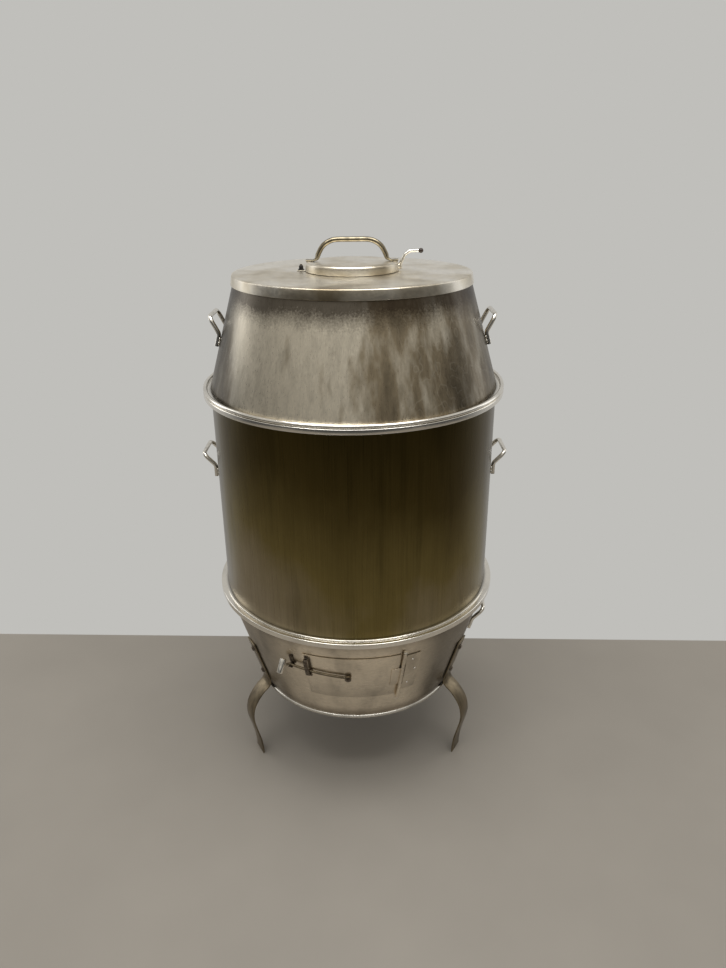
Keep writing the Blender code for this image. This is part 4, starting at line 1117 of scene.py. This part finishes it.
class ROASTER_OT_side_handles(bpy.types.Operator):
    """Build the six bail handles with their weld beads"""
    bl_idname = "roaster.side_handles"
    bl_label = "Side Handles"

    def execute(self, context):
        walls = {"base": base_radius, "barrel": barrel_radius, "hood": hood_radius}
        for body, radius_at in walls.items():
            for side in ("left", "right"):
                node = "%s_handle_%s" % (body, side)
                handle = self.build(body + "_bail_" + side, node, radius_at)
                seat(handle, body, "grip", node)
        return {"FINISHED"}

    def build(self, name, node, radius_at):
        bar = sizes().grip_bar
        half, foot, bend = 54 * MM, 31 * MM, 16 * MM
        azimuth = azimuth_of(middle(node))
        out, along = direction(azimuth), direction(azimuth + 90.0)
        foot_low, grip_z = low(node), top(node) - bar
        foot_top = foot_low + foot
        grip_out = max((v.co - v.co.z * Vector((0, 0, 1))).dot(out)
                       for v in frame["nodes"][node].data.vertices) - bar

        def at_wall(side, height):
            wall = radius_at(height) + bar + 0.8 * MM
            return (out * math.sqrt(wall ** 2 - half ** 2) + along * (side * half)
                    + Vector((0, 0, height)))

        corners = [at_wall(-1, foot_low), at_wall(-1, foot_top),
                   out * grip_out - along * half + Vector((0, 0, grip_z)),
                   out * grip_out + along * half + Vector((0, 0, grip_z)),
                   at_wall(1, foot_top), at_wall(1, foot_low)]
        handle = bent_bar(name, fillet(corners, bend, 10), bar, 6)
        beads = []
        for side in (-1, 1):
            for share in (0.22, 0.55):
                height = foot_low + foot * share
                place = at_wall(side, height) - out * bar
                for flank in (-1, 1):
                    beads.append(weld_bead(place + along * flank * bar * 0.8, out,
                                           Vector((0, 0, 1)), 11 * MM, 6 * MM, 2.2 * MM))
        return join_on(handle, beads)


# ------------------------------------------------------------------ lid and vent cap
class ROASTER_OT_lid(bpy.types.Operator):
    """Build the lid: flat plate with a folded skirt and the vent hole"""
    bl_idname = "roaster.lid"
    bl_label = "Lid"

    def execute(self, context):
        sheet, hem = sizes().sheet, sizes().hem
        start, end = low("lid"), top("lid")
        skirt_r = ring_radius("lid", start)
        hole = bore_radius("lid", end)
        corner = 4 * MM
        edge_r = ring_radius("lid", end) + corner
        rings = 12
        plate = [(hole + (edge_r - corner - hole) * i / rings, end) for i in range(rings + 1)]
        lid = turned("lid_plate", plate[:-1] + arc(edge_r - corner, end - corner, corner, 90, 0, 8)
                     + arc(skirt_r - hem, start + hem, hem, 0, -180, 8)
                     + [(edge_r - sheet, end - corner), (edge_r - corner, end - sheet),
                        (hole, end - sheet)])
        drill(lid, 3.5 * MM, end)
        seat(lid, "lid", "lid", "lid")

        nut_low, nut_top = low("cap_pivot_nut"), top("cap_pivot_nut")
        bore, body_r, washer = 3.4 * MM, 5.6 * MM, 8.0 * MM
        shoulder = nut_low + 1.8 * MM
        nut = turned("pivot_nut", [
            (bore, nut_low), (washer - 0.3 * MM, nut_low), (washer, nut_low + 0.3 * MM),
            (washer, shoulder - 0.5 * MM), (washer - 0.4 * MM, shoulder - 0.2 * MM),
            (body_r, shoulder), (body_r, nut_top - 3.4 * MM),
            (body_r - 0.7 * MM, nut_top - 1.6 * MM), (bore, nut_top)],
            steps=32)
        stand(nut, Matrix.Translation((PIVOT.x, PIVOT.y, 0)))
        seat(nut, "lid", "nut", "cap_pivot_nut")
        return {"FINISHED"}


class ROASTER_OT_vent_cap(bpy.types.Operator):
    """Build the vent cap with its tab, bow handle, lever and ball"""
    bl_idname = "roaster.vent_cap"
    bl_label = "Vent Cap"

    def execute(self, context):
        start, end = low("vent_cap"), top("vent_cap")
        cap_r, wall, corner = reach("vent_cap"), 1.8 * MM, 6 * MM
        cap = turned("cap_pan", [(0.0, end), (0.5 * cap_r, end)]
                     + arc(cap_r - 1 * MM - corner, end - corner, corner, 90, 0, 8)
                     + arc(cap_r - 0.9 * MM, start + 0.9 * MM, 0.9 * MM, 0, -180, 6)
                     + [(cap_r - 1 * MM - wall, end - corner),
                        (cap_r - 1 * MM - corner, end - wall), (0.0, end - wall)], steps=120)
        tab_end = PIVOT.x - 11 * MM
        tab_start = 1.2 * MM - cap_r
        half_width, thick = 10 * MM, 2 * MM
        nose = [(tab_start, -half_width), (tab_start, half_width), (tab_end + 4 * MM, half_width),
                (tab_end, half_width - 4 * MM), (tab_end, 4 * MM - half_width),
                (tab_end + 4 * MM, -half_width), (tab_start, -half_width)]
        tab = draw_line("cap_tab", [(x, y, start) for x, y in nose])
        bpy.ops.mesh.remove_doubles(threshold=0.05 * MM)
        bpy.ops.mesh.edge_face_add()
        extrude((0, 0, thick))
        leave_edit(tab)
        combine(cap, "UNION", tab)
        drill(cap, 3.4 * MM, start)
        seat(cap, "vent_cap", "lid", "vent_cap")
        self.build_handle(end)
        self.build_lever(cap_r, start)
        return {"FINISHED"}

    def build_handle(self, cap_top):
        """Bow of round bar whose ends are hammered flat and welded down."""
        bar = sizes().bow_bar
        foot_half = 2.6 * MM
        foot_z = cap_top + 0.3 * MM + foot_half
        grip_z = top("cap_handle") - bar - 0.3 * MM
        half_span = reach("cap_handle")
        rise = [(-half_span, foot_z), (-0.1080, foot_z), (-0.0985, foot_z),
                (-0.0900, foot_z + 5.5 * MM), (-0.0815, grip_z - 28 * MM),
                (-0.0735, grip_z - 16 * MM), (-0.0620, grip_z - 7 * MM),
                (-0.0480, grip_z - 1.5 * MM), (-0.0320, grip_z), (-0.0120, grip_z)]
        outline = rise + [(-x, z) for x, z in reversed(rise)]
        path = smooth_line([Vector((x, 0.0, z)) for x, z in outline], 5)
        handle = bent_bar("bow_handle", path, bar, 6)
        flat_from, round_from = 0.0975, 0.0830
        for vertex in handle.data.vertices:
            share = (abs(vertex.co.x) - round_from) / (flat_from - round_from)
            share = max(0.0, min(1.0, share))
            share = share * share * (3 - 2 * share)
            if share > 0.0:
                flat = foot_half / bar + (1 - foot_half / bar) * (1 - share)
                nearest = min(path, key=lambda p: abs(p.x - vertex.co.x))
                if vertex.co.z < foot_z + 14 * MM:
                    vertex.co.z = nearest.z + (vertex.co.z - nearest.z) * flat
                vertex.co.y *= 1 + 0.48 * share
        welds = [weld_bead(Vector((s * (half_span - 8 * MM), t * 8 * MM, cap_top)),
                           Vector((0, 0, 1)), Vector((1, 0, 0)), 14 * MM, 6 * MM, 1.6 * MM)
                 for s in (-1, 1) for t in (-1, 1)]
        seat(join_on(handle, welds), "vent_cap", "bow", "cap_handle")

    def build_lever(self, cap_r, cap_low):
        bar = sizes().lever_bar
        start_x = cap_r + bar + 0.6 * MM
        ball = middle("lever_knob")
        ball_r = (top("lever_knob") - low("lever_knob")) / 2
        end_x = ball.x - ball_r - 0.3 * MM
        corners = [(start_x, 1.6 * MM), (start_x, 16 * MM), (start_x + 9 * MM, 36 * MM),
                   (start_x + 22 * MM, 46 * MM), (end_x, 46.5 * MM)]
        path = fillet([(x, 0.0, cap_low + z) for x, z in corners], 12 * MM, 8)
        lever = bent_bar("vent_lever", path, bar, 5)
        weld = weld_bead(Vector((cap_r - 0.4 * MM, 0, cap_low + 9 * MM)), Vector((1, 0, 0)),
                         Vector((0, 0, 1)), 13 * MM, 12 * MM, 3 * MM)
        seat(join_on(lever, [weld]), "vent_cap", "grip", "cap_lever")
        neck = 0.6 * ball_r
        outline = [(0.0, -ball_r), (neck, -ball_r)]
        turns = [math.radians(a) for a in range(-50, 90, 10)]
        outline += [(ball_r * math.cos(a), ball_r * math.sin(a)) for a in turns] + [(0.0, ball_r)]
        knob = turned("lever_ball", outline, steps=32)
        stand(knob, facing(ball, (1, 0, 0)))
        seat(knob, "vent_cap", "knob", "lever_knob")


# ------------------------------------------------------------------ studio
class ROASTER_OT_studio(bpy.types.Operator):
    """Lay the floor and set the camera, the soft lights and the pale surroundings"""
    bl_idname = "roaster.studio"
    bl_label = "Studio"

    def execute(self, context):
        self.lay_floor()
        self.set_camera()
        self.set_lights()
        self.set_world()
        context.scene.view_settings.view_transform = "Standard"
        return {"FINISHED"}

    def lay_floor(self):
        nothing_selected()
        half_width, front, rear = 3.2, -3.0, 0.413
        bpy.ops.mesh.primitive_grid_add(x_subdivisions=8, y_subdivisions=8, size=1.0)
        floor = bpy.context.object
        floor.name = "studio_floor"
        centre = Matrix.Translation((0, (front + rear) / 2, 0))
        size = Matrix.Diagonal((2 * half_width, rear - front, 1, 1))
        stand(floor, Matrix.Rotation(math.radians(-1.65), 4, "Z") @ centre @ size)
        mat, shader = new_material("plain_floor")
        shade = tuple(colours().floor)
        worn = speckle(mat, 420, 3.0)
        colour = add_node(mat, "ShaderNodeValToRGB", {"Fac": worn}, "Color", [
            (0.3, paint(shade, 0.92)), (0.7, paint(shade))])
        mat.node_tree.links.new(colour, shader.inputs["Base Color"])
        shader.inputs["Roughness"].default_value = 0.6
        floor.data.materials.append(mat)

    def set_camera(self):
        lens = bpy.data.cameras.new("studio_camera")
        lens.sensor_fit = "AUTO"
        lens.sensor_width = 36.0
        lens.lens = 27.45
        lens.clip_start = 0.05
        camera = bpy.data.objects.new("studio_camera", lens)
        bpy.context.scene.collection.objects.link(camera)
        turn = (Matrix.Rotation(CAMERA_YAW, 4, "Z") @ Matrix.Rotation(CAMERA_PITCH, 4, "X")
                @ Matrix.Rotation(CAMERA_ROLL, 4, "Z"))
        camera.matrix_world = Matrix.Translation(CAMERA_PLACE) @ turn
        bpy.context.scene.camera = camera

    def set_lights(self):
        for name, place, aim, width, depth, power in (
                ("ceiling_soft", (0.0, -0.7, 3.2), (0.0, -0.3, 0.6), 2.6, 1.6, 62.0),
                ("left_soft", (-2.4, 0.9, 1.7), (0.0, 0.0, 0.9), 0.9, 2.4, 8.0),
                ("right_soft", (2.4, 0.9, 1.7), (0.0, 0.0, 0.9), 0.9, 2.4, 5.0)):
            lamp = bpy.data.lights.new(name, "AREA")
            lamp.shape = "RECTANGLE"
            lamp.size = width
            lamp.size_y = depth
            lamp.energy = power
            light = bpy.data.objects.new(name, lamp)
            bpy.context.scene.collection.objects.link(light)
            light.location = place
            towards = Vector(aim) - Vector(place)
            light.rotation_euler = towards.to_track_quat("-Z", "Y").to_euler()

    def set_world(self):
        """Pale behind and above, dim in front below eye height, plain pale where seen directly."""
        world = bpy.data.worlds.new("studio_surroundings")
        bpy.context.scene.world = world
        world.use_nodes = True
        world.node_tree.nodes.clear()
        ways = add_node(world, "ShaderNodeSeparateXYZ", {
            "Vector": add_node(world, "ShaderNodeTexCoord", give="Generated")})
        above = add_node(world, "ShaderNodeMapRange", {
            "Value": ways.outputs["Z"], "From Min": 0.02, "From Max": 0.34}, "Result",
            interpolation_type="SMOOTHSTEP")
        behind = add_node(world, "ShaderNodeMapRange", {
            "Value": ways.outputs["Y"], "From Min": -0.25, "From Max": 0.75}, "Result",
            interpolation_type="SMOOTHSTEP")
        room = add_node(world, "ShaderNodeMix", {
            MIX_FACTOR: above, MIX_A: paint((0.06, 0.06, 0.06)), MIX_B: paint((0.54, 0.52, 0.48))},
            MIX_RESULT, data_type="RGBA")
        room = add_node(world, "ShaderNodeMix", {
            MIX_FACTOR: behind, MIX_A: room, MIX_B: paint((0.50, 0.49, 0.47))},
            MIX_RESULT, data_type="RGBA")
        seen = add_node(world, "ShaderNodeLightPath", give="Is Camera Ray")
        room = add_node(world, "ShaderNodeMix", {
            MIX_FACTOR: seen, MIX_A: room, MIX_B: paint(colours().backdrop)},
            MIX_RESULT, data_type="RGBA")
        glow = add_node(world, "ShaderNodeBackground", {"Color": room, "Strength": 1.0},
                        "Background")
        add_node(world, "ShaderNodeOutputWorld", {"Surface": glow})


# ------------------------------------------------------------------ add-on
BUILDERS = (
    ROASTER_OT_studio, ROASTER_OT_fire_base, ROASTER_OT_inner_walls, ROASTER_OT_legs,
    ROASTER_OT_fire_door, ROASTER_OT_latch, ROASTER_OT_barrel, ROASTER_OT_hood,
    ROASTER_OT_side_handles, ROASTER_OT_lid, ROASTER_OT_vent_cap,
)


class ROASTER_PT_panel(bpy.types.Panel):
    """Sidebar panel that lists the oven's builders"""
    bl_label = "Roaster"
    bl_idname = "ROASTER_PT_panel"
    bl_space_type = "VIEW_3D"
    bl_region_type = "UI"
    bl_category = "Roaster"

    def draw(self, context):
        for builder in BUILDERS:
            self.layout.operator(builder.bl_idname)


CLASSES = (RoasterSizes, RoasterColours, *BUILDERS, ROASTER_PT_panel)


def register():
    for cls in CLASSES:
        bpy.utils.register_class(cls)
    bpy.types.Scene.roaster_sizes = bpy.props.PointerProperty(type=RoasterSizes)
    bpy.types.Scene.roaster_colours = bpy.props.PointerProperty(type=RoasterColours)


def unregister():
    del bpy.types.Scene.roaster_colours
    del bpy.types.Scene.roaster_sizes
    for cls in reversed(CLASSES):
        bpy.utils.unregister_class(cls)


def main():
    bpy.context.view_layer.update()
    register()
    for builder in BUILDERS:
        module, action = builder.bl_idname.split(".")
        getattr(getattr(bpy.ops, module), action)()


if __name__ == "__main__":
    main()
